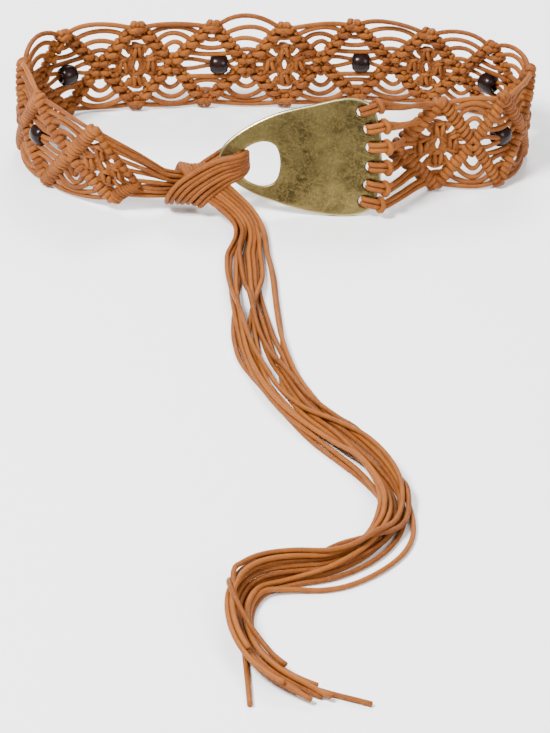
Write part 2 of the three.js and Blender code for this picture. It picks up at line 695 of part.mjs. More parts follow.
function gatherKnot(plateRelief) {
  const start = standingRows[0].at;
  const fan = GATHERED.map((row, index) => {
    const from = bent(ridgePoint(0, -1, row.level, row.along));
    const lift = (0.5 - (index + 0.5) / GATHERED.length) * BUNDLE;
    const to = start.clone().add(new THREE.Vector3(CORD, 0, lift));
    const bend = from.clone().lerp(to, FAN_BEND).add(new THREE.Vector3(0, -CORD / 3, 0));
    const size = { wide: new THREE.Vector3(0, 0, 1), width: ARC_WIDTH, thickness: CORD };
    return strap([{ at: from, ...size }, { at: bend, ...size }, { at: to, ...size }], 3, 4);
  });
  const standing = strap(standingRows, 6, 8);
  const wrap = strap(wrapRows, 17, 8);
  const whole = joined([standing, wrap, ...fan]);
  return toGeometry(whole.subtract(ridgeRelief(0)).subtract(plateRelief));
}

const tailPoints = [hitchEnd.clone().addScaledVector(hitchEndDirection, -CORD), ...TAIL_ROUTE.map(vectorOf)];
const tailCurve = new THREE.CatmullRomCurve3(tailPoints, false, 'centripetal');

function tailSize(share) {
  const next = Math.max(1, TAIL_SECTIONS.findIndex((row) => row.share >= share));
  const a = TAIL_SECTIONS[next - 1];
  const b = TAIL_SECTIONS[next];
  const between = THREE.MathUtils.smoothstep(share, a.share, b.share);
  return {
    width: THREE.MathUtils.lerp(a.width, b.width, between) * TAIL_WIDTH,
    thickness: THREE.MathUtils.lerp(a.thickness, b.thickness, between) * TAIL_THICKNESS,
  };
}

// The bundle's section: flat where it lies, with grooves between its locks on top.
const TAIL_PROFILE = [
  { across: 0.5, up: -0.1 },
  { across: 0.32, up: 0.46 },
  { across: 0.1, up: 0.36 },
  { across: -0.12, up: 0.5 },
  { across: -0.36, up: 0.34 },
  { across: -0.5, up: -0.1 },
  { across: -0.38, up: -0.5 },
  { across: 0.38, up: -0.5 },
];

function tailBundle(steps) {
  const rings = [];
  for (let step = 0; step <= steps; step += 1) {
    const share = step / steps;
    const centre = tailCurve.getPointAt(share);
    const along = tailCurve.getTangentAt(share);
    const right = new THREE.Vector3(along.y, -along.x, 0).normalize();
    const up = new THREE.Vector3().crossVectors(right, along);
    const { width, thickness } = tailSize(share);
    const height = Math.min(thickness, up.z > 0.9 ? 1.98 * centre.z : thickness);
    rings.push(TAIL_PROFILE.map((row) => centre.clone()
      .addScaledVector(right, row.across * width)
      .addScaledVector(up, row.up * height)));
  }
  return toSolid(loft(rings.map((ring) => [...ring].reverse())));
}

function singleCord(points, steps) {
  const curve = new THREE.CatmullRomCurve3(points, false, 'centripetal');
  const section = new THREE.Shape();
  section.absarc(0, 0, CORD / 2, 0, 2 * Math.PI, false);
  const settings = { steps, extrudePath: curve, bevelEnabled: false, curveSegments: 3 };
  return toSolid(new THREE.ExtrudeGeometry(section, settings));
}

function stray(row) {
  const points = Array.from({ length: 9 }, (_, k) => {
    const part = k / 8;
    const share = THREE.MathUtils.lerp(row.from, row.to, part);
    const along = tailCurve.getTangentAt(share);
    const right = new THREE.Vector3(along.y, -along.x, 0).normalize();
    const centre = tailCurve.getPointAt(share);
    const out = Math.sin(Math.PI * part) ** 0.7 * row.out * CORD;
    const height = centre.z * (1 - Math.sin(Math.PI * part));
    return centre.addScaledVector(right, out).setZ(Math.max(STRAY_HEIGHT, height));
  });
  return singleCord(points, 9);
}

// A block behind the end of the hitch, which the free ends start clear of.
function hitchEndRelief() {
  const block = new THREE.BoxGeometry(2 * TAIL_WIDTH, 2 * TAIL_WIDTH, BUNDLE);
  block.translate(0, 0, CLEARANCE - BUNDLE / 2);
  block.lookAt(hitchEndDirection);
  return toSolid(block.translate(hitchEnd.x, hitchEnd.y, hitchEnd.z));
}

function tailCords() {
  const strays = STRAYS.map(stray);
  const whole = joined([tailBundle(34), ...strays, singleCord(STRAY_END.map(vectorOf), 6)]);
  return toGeometry(whole.subtract(hitchEndRelief()));
}

const belt = new THREE.Group();
const cordMaterial = () => new THREE.MeshStandardMaterial({ color: 0xb5722f, roughness: 0.7, metalness: 0 });
const woodMaterial = () => new THREE.MeshStandardMaterial({ color: 0x2e1a14, roughness: 0.3, metalness: 0 });
const brassMaterial = () => new THREE.MeshStandardMaterial({ color: 0x7d6c40, roughness: 0.4, metalness: 1 });

function addPiece(name, geometry, material) {
  const mesh = new THREE.Mesh(geometry, material);
  mesh.name = name;
  belt.add(mesh);
}

addPiece('cord_net', cordNet(), cordMaterial());
BEAD_PLACES.forEach((place, index) => {
  addPiece(`wood_bead_${index + 1}`, bead(2 * index + 1, place), woodMaterial());
});
addPiece('buckle_plate', bucklePlate(), brassMaterial());
const relief = ridgeRelief(DIAMONDS - 1);
LOOPS.forEach((_, index) => addPiece(`cord_loop_${index + 1}`, cordLoop(index, relief), cordMaterial()));
addPiece('gather_knot', gatherKnot(plateBlank(CLEARANCE)), cordMaterial());

// The origin goes below the middle of the loop, without its free ends.
const middle = new THREE.Box3().setFromObject(belt).getCenter(new THREE.Vector3());
addPiece('tail_cords', tailCords(), cordMaterial());
belt.position.set(-middle.x, -middle.y, 0);

export default belt;
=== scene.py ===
import math
import random

import bpy
import numpy as np
from bpy.props import FloatProperty, FloatVectorProperty, IntProperty, PointerProperty
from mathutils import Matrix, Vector
from mathutils.geometry import delaunay_2d_cdt


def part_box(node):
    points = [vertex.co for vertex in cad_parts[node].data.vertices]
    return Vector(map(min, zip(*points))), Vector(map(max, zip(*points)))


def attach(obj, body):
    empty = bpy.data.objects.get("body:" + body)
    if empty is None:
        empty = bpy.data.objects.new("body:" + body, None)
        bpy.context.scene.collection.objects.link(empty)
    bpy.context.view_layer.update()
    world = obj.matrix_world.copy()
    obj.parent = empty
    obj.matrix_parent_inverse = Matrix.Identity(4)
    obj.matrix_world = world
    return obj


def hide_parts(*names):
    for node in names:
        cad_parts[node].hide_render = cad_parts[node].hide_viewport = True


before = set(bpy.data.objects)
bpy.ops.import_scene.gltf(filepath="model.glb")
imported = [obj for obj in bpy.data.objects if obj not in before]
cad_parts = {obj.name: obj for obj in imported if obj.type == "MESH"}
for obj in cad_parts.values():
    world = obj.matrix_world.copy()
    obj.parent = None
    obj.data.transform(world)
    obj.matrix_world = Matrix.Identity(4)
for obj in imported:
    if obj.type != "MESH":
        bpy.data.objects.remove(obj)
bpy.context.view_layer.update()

bl_info = {
    "name": "Rope Belt",
    "version": (1, 0, 0),
    "blender": (4, 5, 0),
    "location": "3D View > Sidebar > Rope Belt",
    "description": "A knotted cord belt with wooden beads and a brass plate buckle",
    "category": "Object",
}

# Where the loop's own frame (buckle foot line, middle of the loop) lies in the part's frame, in metres.
ORIGIN = np.array([-0.000143, -0.066849, 0.0])
INWARD = np.array([0.0, 0.0, 1.0])
DIAMONDS = 13
HITCHES = (0.08, 0.28, 0.48, 0.68, 0.88)

# A turn of cord round a ridge: its radius as a share of the ridge, its points, how far round it goes in
# degrees, and half the cord's sizes as shares of the cord.
HITCH_RADIUS, HITCH_TURN = 0.43, (12, 138, 0.66, 0.56)
PEAK_RADIUS, PEAK_TURN = 0.27, (15, 165, 0.64, 0.52)

# The turns at an upper and at a lower vertex: their places in cords, how far they fan out, and how far the
# outer ones lie higher, in metres.
PEAK_UPPER = ((-0.78, 0.0, 0.78), 0.3, 0.0)
PEAK_LOWER = ((-1.6, -0.8, 0.0, 0.8, 1.6), 0.42, 0.0011)

# Half the length of a hitch's oval, of the last one on a ridge, and half its height and depth, in metres.
OVAL_HALF, OVAL_HALF_LAST, OVAL_HIGH, OVAL_DEEP = 0.0035, 0.0028, 0.00195, 0.0019

# The middle of each diamond: across and back as shares of the loop's width and depth, and how far the top
# leans, as shares of the band's height. The first and last rows are where the band points to.
PLAN = (
    (-0.192, 0.073, -0.2, -0.05),
    (-0.326, 0.054, -0.2, -0.05),
    (-0.45, 0.276, -0.05, 0.05),
    (-0.5, 0.59, 0.045, 0.025),
    (-0.423, 0.887, -0.015, -0.04),
    (-0.28, 0.954, 0.04, 0.01),
    (-0.133, 0.974, 0.11, -0.035),
    (0.022, 0.964, -0.01, -0.08),
    (0.168, 0.999, -0.055, -0.11),
    (0.312, 0.938, 0.015, -0.235),
    (0.439, 0.803, -0.03, -0.19),
    (0.5, 0.531, 0.055, 0.06),
    (0.443, 0.272, 0.025, 0.08),
    (0.32, 0.234, 0.035, 0.025),
    (0.136, 0.105, 0.035, 0.1),
)

# How far the loose cords rise over the top edge between two diamonds, as shares of the band's height.
TOP_RISES = (0.02, 0.1, 0.12, 0.05, 0.01, 0.12, 0, 0.06, 0.08, 0.08, 0.01, 0)

# How deep each of the five loose cords lies at its middle, as shares of the band's height: where the top one
# rises, where they lie close together, along the floor, beside the first diamond and before the last.
LOOSE_DEPTHS = (0.0, 0.075, 0.165, 0.29, 0.405)
BUNCHED_DEPTHS = (0.005, 0.05, 0.115, 0.225, 0.37)
FLOOR_DEPTHS = (0.0, 0.035, 0.1, 0.22, 0.38)
DENSE_DEPTHS = (0.0, 0.05, 0.1, 0.16, 0.24)
STRAIGHT_DEPTHS = (0.0, 0.04, 0.09, 0.21, 0.37)

# Where each bead sits along its stretch of cord, and how deep the sagging cords above and below it hang.
BEAD_PLACES = (0.68, 0.5, 0.68, 0.6, 0.5, 0.4)
SAG_ABOVE = (0.18, 0.29, 0.375)
SAG_BELOW = (
    (0.18, 0.28, 0.37),
    (0.17, 0.29, 0.335),
    (0.18, 0.3, 0.345),
    (0.16, 0.255, 0.345),
    (0.17, 0.27, 0.36),
    (0.19, 0.3, 0.35),
)

# The plate's outline and its large hole: shares of its length and height.
BUCKLE_OUTLINE = (
    (0, 0.49), (0.05, 0.345), (0.165, 0.225), (0.33, 0.125), (0.56, 0.03), (0.807, 0), (0.93, 0.055),
    (0.985, 0.25), (1, 0.5), (0.985, 0.75), (0.93, 0.945), (0.807, 1), (0.56, 0.94), (0.33, 0.86),
    (0.12, 0.71), (0.02, 0.585),
)
TIP_HOLE = (
    (0.11, 0.43), (0.165, 0.31), (0.275, 0.258), (0.345, 0.3), (0.375, 0.45), (0.345, 0.6), (0.27, 0.635),
    (0.15, 0.56),
)
WIDE_END = (10.6, 5.6)

# Each loop's place round the wide end, and the level and share of the ridge that its two strands reach.
LOOPS = (
    (0.075, 1, (0.04, 0.14)),
    (0.31, 1, (0.37, 0.47)),
    (0.45, 1, (0.74, 0.86)),
    (0.585, -1, (0.84, 0.73)),
    (0.725, -1, (0.5, 0.4)),
    (0.885, -1, (0.22, 0.12)),
)

# The cords that join a diamond's square knots: the share of the ridge that each leaves, or its place on the
# upper knot, whether it goes to the knot at the side, its place there, and its sag. Places are in millimetres.
KNOT_JOINS = (
    (0.46, False, (0.6, 0), 1.2),
    (0.66, True, (-1.4, 0), 2.2),
    (0.84, True, (1.6, -0.6), 1.0),
    ((1.0, -6.8), True, (-2.0, 0.2), 0.8),
    ((-1.2, -6.8), True, (-3.2, -2.0), 0.4),
    (0.36, False, (2.2, -4.0), 0.6),
    (0.57, True, (-3.0, 0.6), 1.6),
)

# How much thicker than the cord its loose lengths and the joins look.
ARC_SWELL, JOIN_SWELL, CROSS_SWELL = 1.12, 1.16, 1.1

# Half of a bead's profile, from its hole to its middle: radius and place along it, in millimetres.
BEAD_PROFILE = (
    (2.72, -5.0), (2.95, -5.35), (3.6, -5.4), (4.4, -5.05), (5.3, -4.0), (5.9, -2.4), (6.1, -0.8),
)

# The plate's rounded rim, how far in its rings of points lie, in rims, and the spacing of the other points.
RIM = 0.0011
RIM_STEPS = (0, 0.12, 0.42, 0.95, 1.7)
GRID = 0.0022

# How far each loop is pulled from square to the edge towards the belt's length.
PULLS = (0.75, 0.3, 0, 0, 0.3, 0.8)

# The gathered cords' route from the first diamond to the end of the half hitch: place from the plate's tip
# in bundles, direction of the width, and width and thickness as shares of the bundle and then of the wrap.
STANDING = (
    ((-2.93, -0.15, -1.55), (0, 0, 1), 1.3, 0.7),
    ((-1.56, 0.25, -1.45), (0, 0, 1), 0.9, 0.85),
    ((-0.2, 0.62, -0.75), (-0.2, 0, 1), 1.0, 0.9),
    ((0.86, 0.76, -0.2), (-0.3, 0, 1), 1.1, 0.75),
)
WRAP = (
    ((1.3, 0.16, -0.14), (0, 0, 1), 0.68, 1.3),
    ((0.94, -0.45, -0.2), (-0.1, 0, 1), 0.78, 1.1),
    ((0.16, -0.66, -0.42), (-0.4, 0, 0.9), 0.92, 1),
    ((-0.95, -0.9, -1.05), (-0.7, 0, 0.7), 1.05, 1),
    ((-1.72, -0.87, -1.78), (-1, 0, 0.3), 1.16, 1),
    ((-1.92, -0.29, -2.24), (-1, 0, 0), 1.08, 1),
    ((-1.9, 0.53, -2.15), (-1, 0, 0), 1.0, 1),
    ((-1.76, 0.94, -1.65), (-1, 0.1, 0), 0.78, 1),
    ((-1.54, 0.75, -1.0), (-1, 0.2, 0), 0.72, 1),
    ((-1.25, 0.07, -0.74), (-0.9, -0.2, -0.2), 0.7, 1),
    ((-0.8, -0.36, -1.02), (-0.7, 0, -0.6), 0.76, 1.1),
    ((-0.2, -0.66, -1.45), (-0.7, -0.1, -0.7), 0.8, 1.2),
    ((0.44, -1.2, -1.9), (-0.9, -0.4, -0.1), 0.84, 1.25),
)

# How much fatter the cords look where they lie slack in the hitch.
WRAP_SWELL = 0.13

# Each gathered cord: the ridge level and share that it leaves the first diamond at, its lane in the standing
# bundle and its lane in the wrap, across and out as shares of the width and the thickness.
GATHERED = (
    (1, 0.04, (0.47, -0.2), (-0.43, -0.27)),
    (1, 0.16, (0.384, 0.2), (-0.29, -0.27)),
    (1, 0.3, (0.299, -0.2), (-0.14, -0.27)),
    (1, 0.48, (0.213, 0.2), (0.0, -0.27)),
    (1, 0.68, (0.128, -0.2), (0.14, -0.27)),
    (1, 0.88, (0.042, 0.2), (0.29, -0.27)),
    (1, 1.0, (-0.043, -0.2), (0.43, -0.27)),
    (-1, 0.98, (-0.129, 0.2), (0.38, 0.25)),
    (-1, 0.84, (-0.214, -0.2), (0.19, 0.25)),
    (-1, 0.64, (-0.3, 0.2), (0.0, 0.25)),
    (-1, 0.44, (-0.385, -0.2), (-0.19, 0.25)),
    (-1, 0.24, (-0.471, 0.2), (-0.38, 0.25)),
)

# The free ends' route in the loop's own frame, in millimetres, and their section along it.
TAIL_ROUTE = (
    (-22.5, -11, 7.6), (-18.5, -26, 3.6), (-15, -46, 2.9), (-13.5, -68, 2.8), (-12, -98, 2.8),
    (-8, -138, 2.8), (0, -174, 3), (14, -205, 3.6), (34, -233, 3.6), (49.5, -259, 3.4), (58, -284, 3.6),
    (56, -308, 3.8), (44.5, -328, 3.8), (27, -342, 3.6), (8, -348, 3.6), (-7, -356, 3.8), (-14, -371, 3.8),
    (-14.5, -389, 3.6), (-9, -408, 3.2), (3, -424, 2.9), (18, -435, 2.7), (41, -447, 2.4),
)
TAIL_SECTIONS = (
    (0, 0.62), (0.05, 0.86), (0.12, 1.0), (0.3, 1.05), (0.42, 1.0), (0.52, 0.72), (0.62, 0.56), (0.72, 0.5),
    (0.82, 0.48), (0.9, 0.52), (1, 0.5),
)
LEFT_END = ((-14, -386, 2.6), (-13.5, -400, 1.41), (-12, -418, 1.41), (-10.3, -442, 1.41))
LEFT_STRAND = 11

# Each free end, from one side of the hitch to the other: the share of the route where it is cut, and how far
# out it strays in cords between two shares.
TAIL_STRANDS = (
    (0.94, (-5.2, 0.02, 0.345)),
    (0.95, (-5.2, 0.54, 0.8)),
    (0.9, None),
    (0.97, None),
    (1.0, None),
    (0.93, None),
    (0.96, None),
    (0.885, None),
    (0.945, (2.9, 0.28, 0.46)),
    (0.915, (4.3, 0.6, 0.88)),
    (0.955, None),
    (0.97, None),
)
TAIL_STATIONS = 9
TAIL_SWAPS = 5

# Least height of anything over the floor, in metres.
CLEAR = 0.00005

# The soft lights: name, place, size and power. Then the camera's place, its angle down and its lens.
LIGHTS = (
    ("key", (-0.9, -0.7, 1.6), 0.6, 104.0),
    ("fill", (1.2, -1.4, 1.3), 1.2, 36.0),
    ("back", (0.2, 1.4, 1.5), 0.9, 54.0),
)
WORLD_STRENGTH = 0.6
CAMERA_PLACE = (0.000657, -1.566849, 0.851)
CAMERA_DOWN = 32.4
CAMERA_LENS = 149.0


# ---- Settings ----


class BandSettings(bpy.types.PropertyGroup):
    """Sizes of the knotted band."""

    cord: FloatProperty(name="Cord", description="Diameter of the cord", default=0.0027, unit="LENGTH")
    loop_width: FloatProperty(
        name="Loop width", description="Width of the loop's plan", default=0.293, unit="LENGTH"
    )
    loop_depth: FloatProperty(
        name="Loop depth", description="Depth of the loop's plan", default=0.137, unit="LENGTH"
    )
    height: FloatProperty(
        name="Band height", description="From the lower to the upper vertices", default=0.053, unit="LENGTH"
    )
    ridge: FloatProperty(
        name="Ridge", description="Thickness of a ridge of hitches", default=0.0064, unit="LENGTH"
    )
    gather_drop: FloatProperty(
        name="Gather drop", description="How far the gathered end comes down", default=0.014, unit="LENGTH"
    )
    narrowing: FloatProperty(
        name="Narrowing", description="Share of the height lost at the gathered end", default=0.13
    )
    seed: IntProperty(name="Seed", description="Unevenness of the hand-tied cords", default=7)


class BuckleSettings(bpy.types.PropertyGroup):
    """Sizes of the plate and of the loops through it."""

    length: FloatProperty(name="Length", description="From tip to wide end", default=0.092, unit="LENGTH")
    height: FloatProperty(name="Height", description="Height of the wide end", default=0.068, unit="LENGTH")
    thickness: FloatProperty(
        name="Thickness", description="Thickness of the plate", default=0.0026, unit="LENGTH"
    )
    lean: FloatProperty(
        name="Lean", description="How far it leans back", default=math.radians(16), subtype="ANGLE"
    )
    tip: FloatProperty(
        name="Tip", description="Share of the loop's width left of its middle", default=0.105
    )
    dome: FloatProperty(name="Dome", description="How far the middle bulges", default=0.0012, unit="LENGTH")
    hole: FloatProperty(name="Hole", description="Diameter of a small hole", default=0.0058, unit="LENGTH")
    inset: FloatProperty(
        name="Hole inset", description="From the edge to a hole's middle", default=0.0062, unit="LENGTH"
    )


class TailSettings(bpy.types.PropertyGroup):
    """Sizes of the gathered cords and of their free ends."""

    bundle: FloatProperty(name="Bundle", description="The gathered cords", default=0.011, unit="LENGTH")
    wrap_width: FloatProperty(
        name="Wrap width", description="Width of the hitch", default=0.019, unit="LENGTH"
    )
    wrap_thickness: FloatProperty(
        name="Wrap thickness", description="Thickness of the hitch", default=0.0054, unit="LENGTH"
    )
    width: FloatProperty(
        name="Tail width", description="Width of the free ends", default=0.024, unit="LENGTH"
    )


class LookSettings(bpy.types.PropertyGroup):
    """Colours of the materials."""

    cord_colour: FloatVectorProperty(
        name="Cord", description="Waxed cord in the light", subtype="COLOR", default=(0.225, 0.068, 0.01)
    )
    cord_deep: FloatVectorProperty(
        name="Cord, deep", description="Redder, darker patches", subtype="COLOR", default=(0.085, 0.019, 0.003)
    )
    wood_colour: FloatVectorProperty(
        name="Wood", description="Dark bead wood", subtype="COLOR", default=(0.007, 0.003, 0.0026)
    )
    brass_colour: FloatVectorProperty(
        name="Brass", description="Aged brass", subtype="COLOR", default=(0.2, 0.148, 0.052)
    )
    # The patina colour, also laid along the plate's borders as painted shade.
    brass_dark: FloatVectorProperty(
        name="Brass, dark", description="Its patina", subtype="COLOR", default=(0.05, 0.036, 0.013)
    )
    floor_colour: FloatVectorProperty(
        name="Floor", description="Pale floor", subtype="COLOR", default=(0.93, 0.93, 0.93)
    )


# ---- Curves and tubes ----

# Length of cord in one repeat of its plait's texture.
PLAIT = 0.0085


def unit(vectors):
    """Vectors of length one."""
    vectors = np.asarray(vectors, float)
    return vectors / np.maximum(np.linalg.norm(vectors, axis=-1, keepdims=True), 1e-12)


def spline(points, shares, uniform=False):
    """Points of a Catmull-Rom curve, at shares of its rows."""
    points = np.asarray(points, float)
    ends = np.vstack([2 * points[:1] - points[1:2], points, 2 * points[-1:] - points[-2:-1]])
    place = np.clip(np.asarray(shares, float), 0, 1) * (len(points) - 1)
    first = np.minimum(place.astype(int), len(points) - 2)
    w = (place - first)[:, None]
    p0, p1, p2, p3 = (ends[first + k] for k in range(4))
    if uniform:
        t1, t2 = 0.5 * (p2 - p0), 0.5 * (p3 - p1)
    else:
        pairs = ((p0, p1), (p1, p2), (p2, p3))
        d0, d1, d2 = (np.sqrt(np.maximum(np.linalg.norm(b - a, axis=1), 1e-9))[:, None] for a, b in pairs)
        t1 = d1 * ((p1 - p0) / d0 - (p2 - p0) / (d0 + d1) + (p2 - p1) / d1)
        t2 = d1 * ((p2 - p1) / d1 - (p3 - p1) / (d1 + d2) + (p3 - p2) / d2)
    return p1 + w * t1 + w**2 * (3 * (p2 - p1) - 2 * t1 - t2) + w**3 * (2 * (p1 - p2) + t1 + t2)


def smooth(points, count):
    """A smooth line through points, with evenly spaced points."""
    fine = spline(points, np.linspace(0, 1, 12 * len(points)))
    along = np.concatenate([[0], np.cumsum(np.linalg.norm(np.diff(fine, axis=0), axis=1))])
    want = np.linspace(0, along[-1], count)
    return np.column_stack([np.interp(want, along, fine[:, k]) for k in range(fine.shape[1])])


def length_of(points):
    """The length of a line through points."""
    return float(np.linalg.norm(np.diff(points, axis=0), axis=1).sum())


def eased(share):
    """A share from 0 to 1 that starts and ends gently."""
    share = np.clip(share, 0, 1)
    return share**2 * (3 - 2 * share)


def heading(degrees):
    """A direction in the flat band, turned up from along it."""
    turn = math.radians(degrees)
    return np.array([math.cos(turn), math.sin(turn), 0])


def upright(degrees):
    """A direction in the flat band, turned over from straight up."""
    turn = math.radians(degrees)
    return np.array([math.sin(turn), math.cos(turn), 0])


def carried(tangents):
    """A direction across the line that turns with it and doesn't twist."""
    axis = np.eye(3)[np.argmin(np.abs(tangents[0]))]
    current = unit(np.cross(tangents[0], axis))
    ups = []
    for tangent in tangents:
        current = unit(current - tangent * np.dot(current, tangent))
        ups.append(current)
    return np.array(ups)


class Cords:
    """Tubes of cord that become one mesh."""

    def __init__(self, seed=0):
        self.rng = random.Random(seed)
        self.points, self.quads, self.fans = [], [], []
        self.quad_uvs, self.fan_uvs, self.tones = [], [], []
        self.count = 0

    def add(self, centres, wide, thick=None, up=None, sides=8, tone=None):
        """One tube through centres. wide and thick are half its sizes across and along up."""
        centres = np.asarray(centres, float)
        rings = len(centres)
        tangent = unit(np.gradient(centres, axis=0))
        ups = carried(tangent) if up is None else np.broadcast_to(np.asarray(up, float), (rings, 3))
        across = unit(np.cross(tangent, ups))
        top = np.cross(across, tangent)
        wide = np.broadcast_to(wide, rings)[:, None, None]
        thick = wide if thick is None else np.broadcast_to(thick, rings)[:, None, None]
        turn = 2 * np.pi * (np.arange(sides) + 0.5) / sides
        ring = np.cos(turn)[None, :, None] * across[:, None] * wide
        ring = ring + np.sin(turn)[None, :, None] * top[:, None] * thick + centres[:, None]
        run = np.concatenate([[0], np.cumsum(np.linalg.norm(np.diff(centres, axis=0), axis=1))]) / PLAIT
        run = run + self.rng.random()
        i, s = np.meshgrid(np.arange(rings - 1), np.arange(sides), indexing="ij")
        i, s = i.ravel(), s.ravel()
        here, there = self.count + i * sides, self.count + (i + 1) * sides
        n = (s + 1) % sides
        self.quads.append(np.column_stack([here + s, there + s, there + n, here + n]))
        u0, u1 = s / sides, (s + 1) / sides
        corners = ((u0, run[i]), (u0, run[i + 1]), (u1, run[i + 1]), (u1, run[i]))
        self.quad_uvs.append(np.stack([np.column_stack(c) for c in corners], axis=1).reshape(-1, 2))
        self.points.append(ring.reshape(-1, 3))
        base = self.count
        self.count += rings * sides
        s = np.arange(sides)
        n = (s + 1) % sides
        bulge = 0.35 * float(np.min(thick))
        for at, outward, order in ((0, -1, (s, n)), (rings - 1, 1, (n, s))):
            first = base + at * sides
            self.fans.append(np.column_stack([np.full(sides, self.count), first + order[0], first + order[1]]))
            self.fan_uvs.append(np.tile([[0.5, run[at]]], (3 * sides, 1)))
            self.points.append((centres[at] + tangent[at] * outward * bulge)[None])
            self.count += 1
        tone = self.rng.random() if tone is None else tone
        self.tones.append(np.full(self.count - base, tone))

    def build(self, name, bend=None):
        """The mesh object of all tubes, bent round the loop if a function is given."""
        points = np.concatenate(self.points)
        if bend is not None:
            points = bend(points)
        fans = np.concatenate(self.fans)
        uvs = np.concatenate(self.quad_uvs + self.fan_uvs)
        quads = np.concatenate(self.quads)
        made = mesh_object(name, points, quads, fans, uvs)
        tones = made.data.attributes.new("tone", "FLOAT", "POINT")
        tones.data.foreach_set("value", np.concatenate(self.tones).astype(np.float32))
        return made


def mesh_object(name, points, quads, triangles, uvs=None):
    """A smooth mesh object of four-sided and three-sided faces."""
    mesh = bpy.data.meshes.new(name)
    mesh.vertices.add(len(points))
    mesh.vertices.foreach_set("co", np.asarray(points, np.float32).ravel())
    corners = np.concatenate([np.ravel(quads), np.ravel(triangles)]).astype(np.int32)
    mesh.loops.add(len(corners))
    mesh.loops.foreach_set("vertex_index", corners)
    sizes = np.concatenate([np.full(len(quads), 4), np.full(len(triangles), 3)])
    mesh.polygons.add(len(sizes))
    mesh.polygons.foreach_set("loop_start", np.concatenate([[0], np.cumsum(sizes)[:-1]]).astype(np.int32))
    mesh.update(calc_edges=True)
    if uvs is not None:
        mesh.uv_layers.new(name="UVMap").data.foreach_set("uv", np.asarray(uvs, np.float32).ravel())
    mesh.polygons.foreach_set("use_smooth", np.ones(len(sizes), bool))
    mesh.validate()
    made = bpy.data.objects.new(name, mesh)
    bpy.context.scene.collection.objects.link(made)
    return made


def place_piece(piece, material, node):
    """Gives a piece its material, slot and body, and hides the CAD node that it stands for."""
    piece.data.materials.clear()
    piece.data.materials.append(material)
    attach(piece, "root")
    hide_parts(node)


# ---- The band ----


class Band:
    """The flat band, x along it, y up, z towards the inside, and how it bends round the loop."""

    def __init__(self, sizes):
        rows = np.array(PLAN)
        self.plan = rows[:, :2] * (sizes.loop_width, sizes.loop_depth)
        self.leans = rows[:, 2:]
        shares = self.share(np.linspace(0, DIAMONDS - 1, 121))
        self.pitch = length_of(spline(self.plan, shares, True)) / (DIAMONDS - 1)
        self.height = sizes.height
        self.bottom = sizes.ridge / 2
        self.top = self.bottom + self.height
        self.middle = self.bottom + self.height / 2
        self.drop = sizes.gather_drop
        self.narrowing = sizes.narrowing
        self.cord = sizes.cord
        self.ridge = sizes.ridge

    def share(self, diamond):
        """Where a diamond lies along the plan's rows."""
        return np.clip((np.asarray(diamond, float) + 1) / (len(PLAN) - 1), 0, 1)

    def bend(self, points):
        """Points of the flat band, bent round the loop and narrowed at its gathered end."""
        points = np.array(np.atleast_2d(points))
        points[:, 1] = np.maximum(points[:, 1], CLEAR)
        diamond = points[:, 0] / self.pitch
        share = self.share(diamond)
        at = spline(self.plan, share, True)
        tangent = unit(spline(self.plan, share + 1e-4, True) - spline(self.plan, share - 1e-4, True))
        lean = spline(self.leans, share, True)
        gathered = np.clip(1 - diamond / 0.8, 0, 1)
        points[:, 1] = self.middle + (points[:, 1] - self.middle) * (1 - self.narrowing * gathered)
        raised = (points[:, 1] - self.middle)[:, None]
        inward = np.column_stack([tangent[:, 1], -tangent[:, 0]])
        flat = at + inward * points[:, 2:] + lean * raised
        drop = np.maximum(0, -2 * diamond) * np.clip(points[:, 1] / self.middle, 0, 1) * self.drop
        return np.column_stack([flat, points[:, 1] - drop]) + ORIGIN

    def on_ridge(self, diamond, side, level, share, depth=0.0):
        """A point on one of a diamond's four ridges, at a share from its edge to its side."""
        x = (diamond + side * share / 2) * self.pitch
        return np.array([x, self.middle + level * (1 - share) * self.height / 2, depth])


def arc(start, end, crest, count=11, sway=0.0, skew=0.0):
    """A loose cord between two points whose middle lies at the height crest."""
    start, end = np.asarray(start, float), np.asarray(end, float)
    t = np.linspace(0, 1, count)[:, None]
    reach = 0.27 * (end - start)
    lift = (crest - (start[1] + end[1]) / 2) / 0.75
    first = start + reach * (1 - skew) + (0, lift * (1 + skew), sway)
    second = end - reach * (1 + skew) + (0, lift * (1 - skew), sway)
    return (1 - t) ** 3 * start + 3 * t * (1 - t) ** 2 * first + 3 * t**2 * (1 - t) * second + t**3 * end


def bump(cords, centre, direction, half, high, deep, up=INWARD, tone=None):
    """A fat oval of cord, as a hitch shows on the inside of the band."""
    s = np.array([-1, -0.93, -0.74, -0.4, 0, 0.4, 0.74, 0.93, 1])
    size = np.sqrt(1 - np.abs(0.96 * s) ** 2.3)
    bow = 0.14 * half * (1 - s**2)
    centres = np.asarray(centre) + np.outer(s * half, direction) + np.outer(bow, up)
    cords.add(centres, high * size, deep * size, up=up, tone=tone)


def turn_round(cords, band, centre, along, radius, shape, tilt=0.0, tone=None):
    """A turn of cord round a ridge, open towards the inside of the loop."""
    count, reach, wide, thick = shape
    across = np.array([-along[1], along[0], 0.0])
    angle = np.radians(np.linspace(-reach, reach, count))
    out = np.outer(np.sin(angle), across) - np.outer(np.cos(angle), INWARD)
    line = centre + out * radius + np.outer(np.sin(angle) * tilt, along)
    cords.add(line, wide * band.cord, thick * band.cord, up=out, tone=tone)


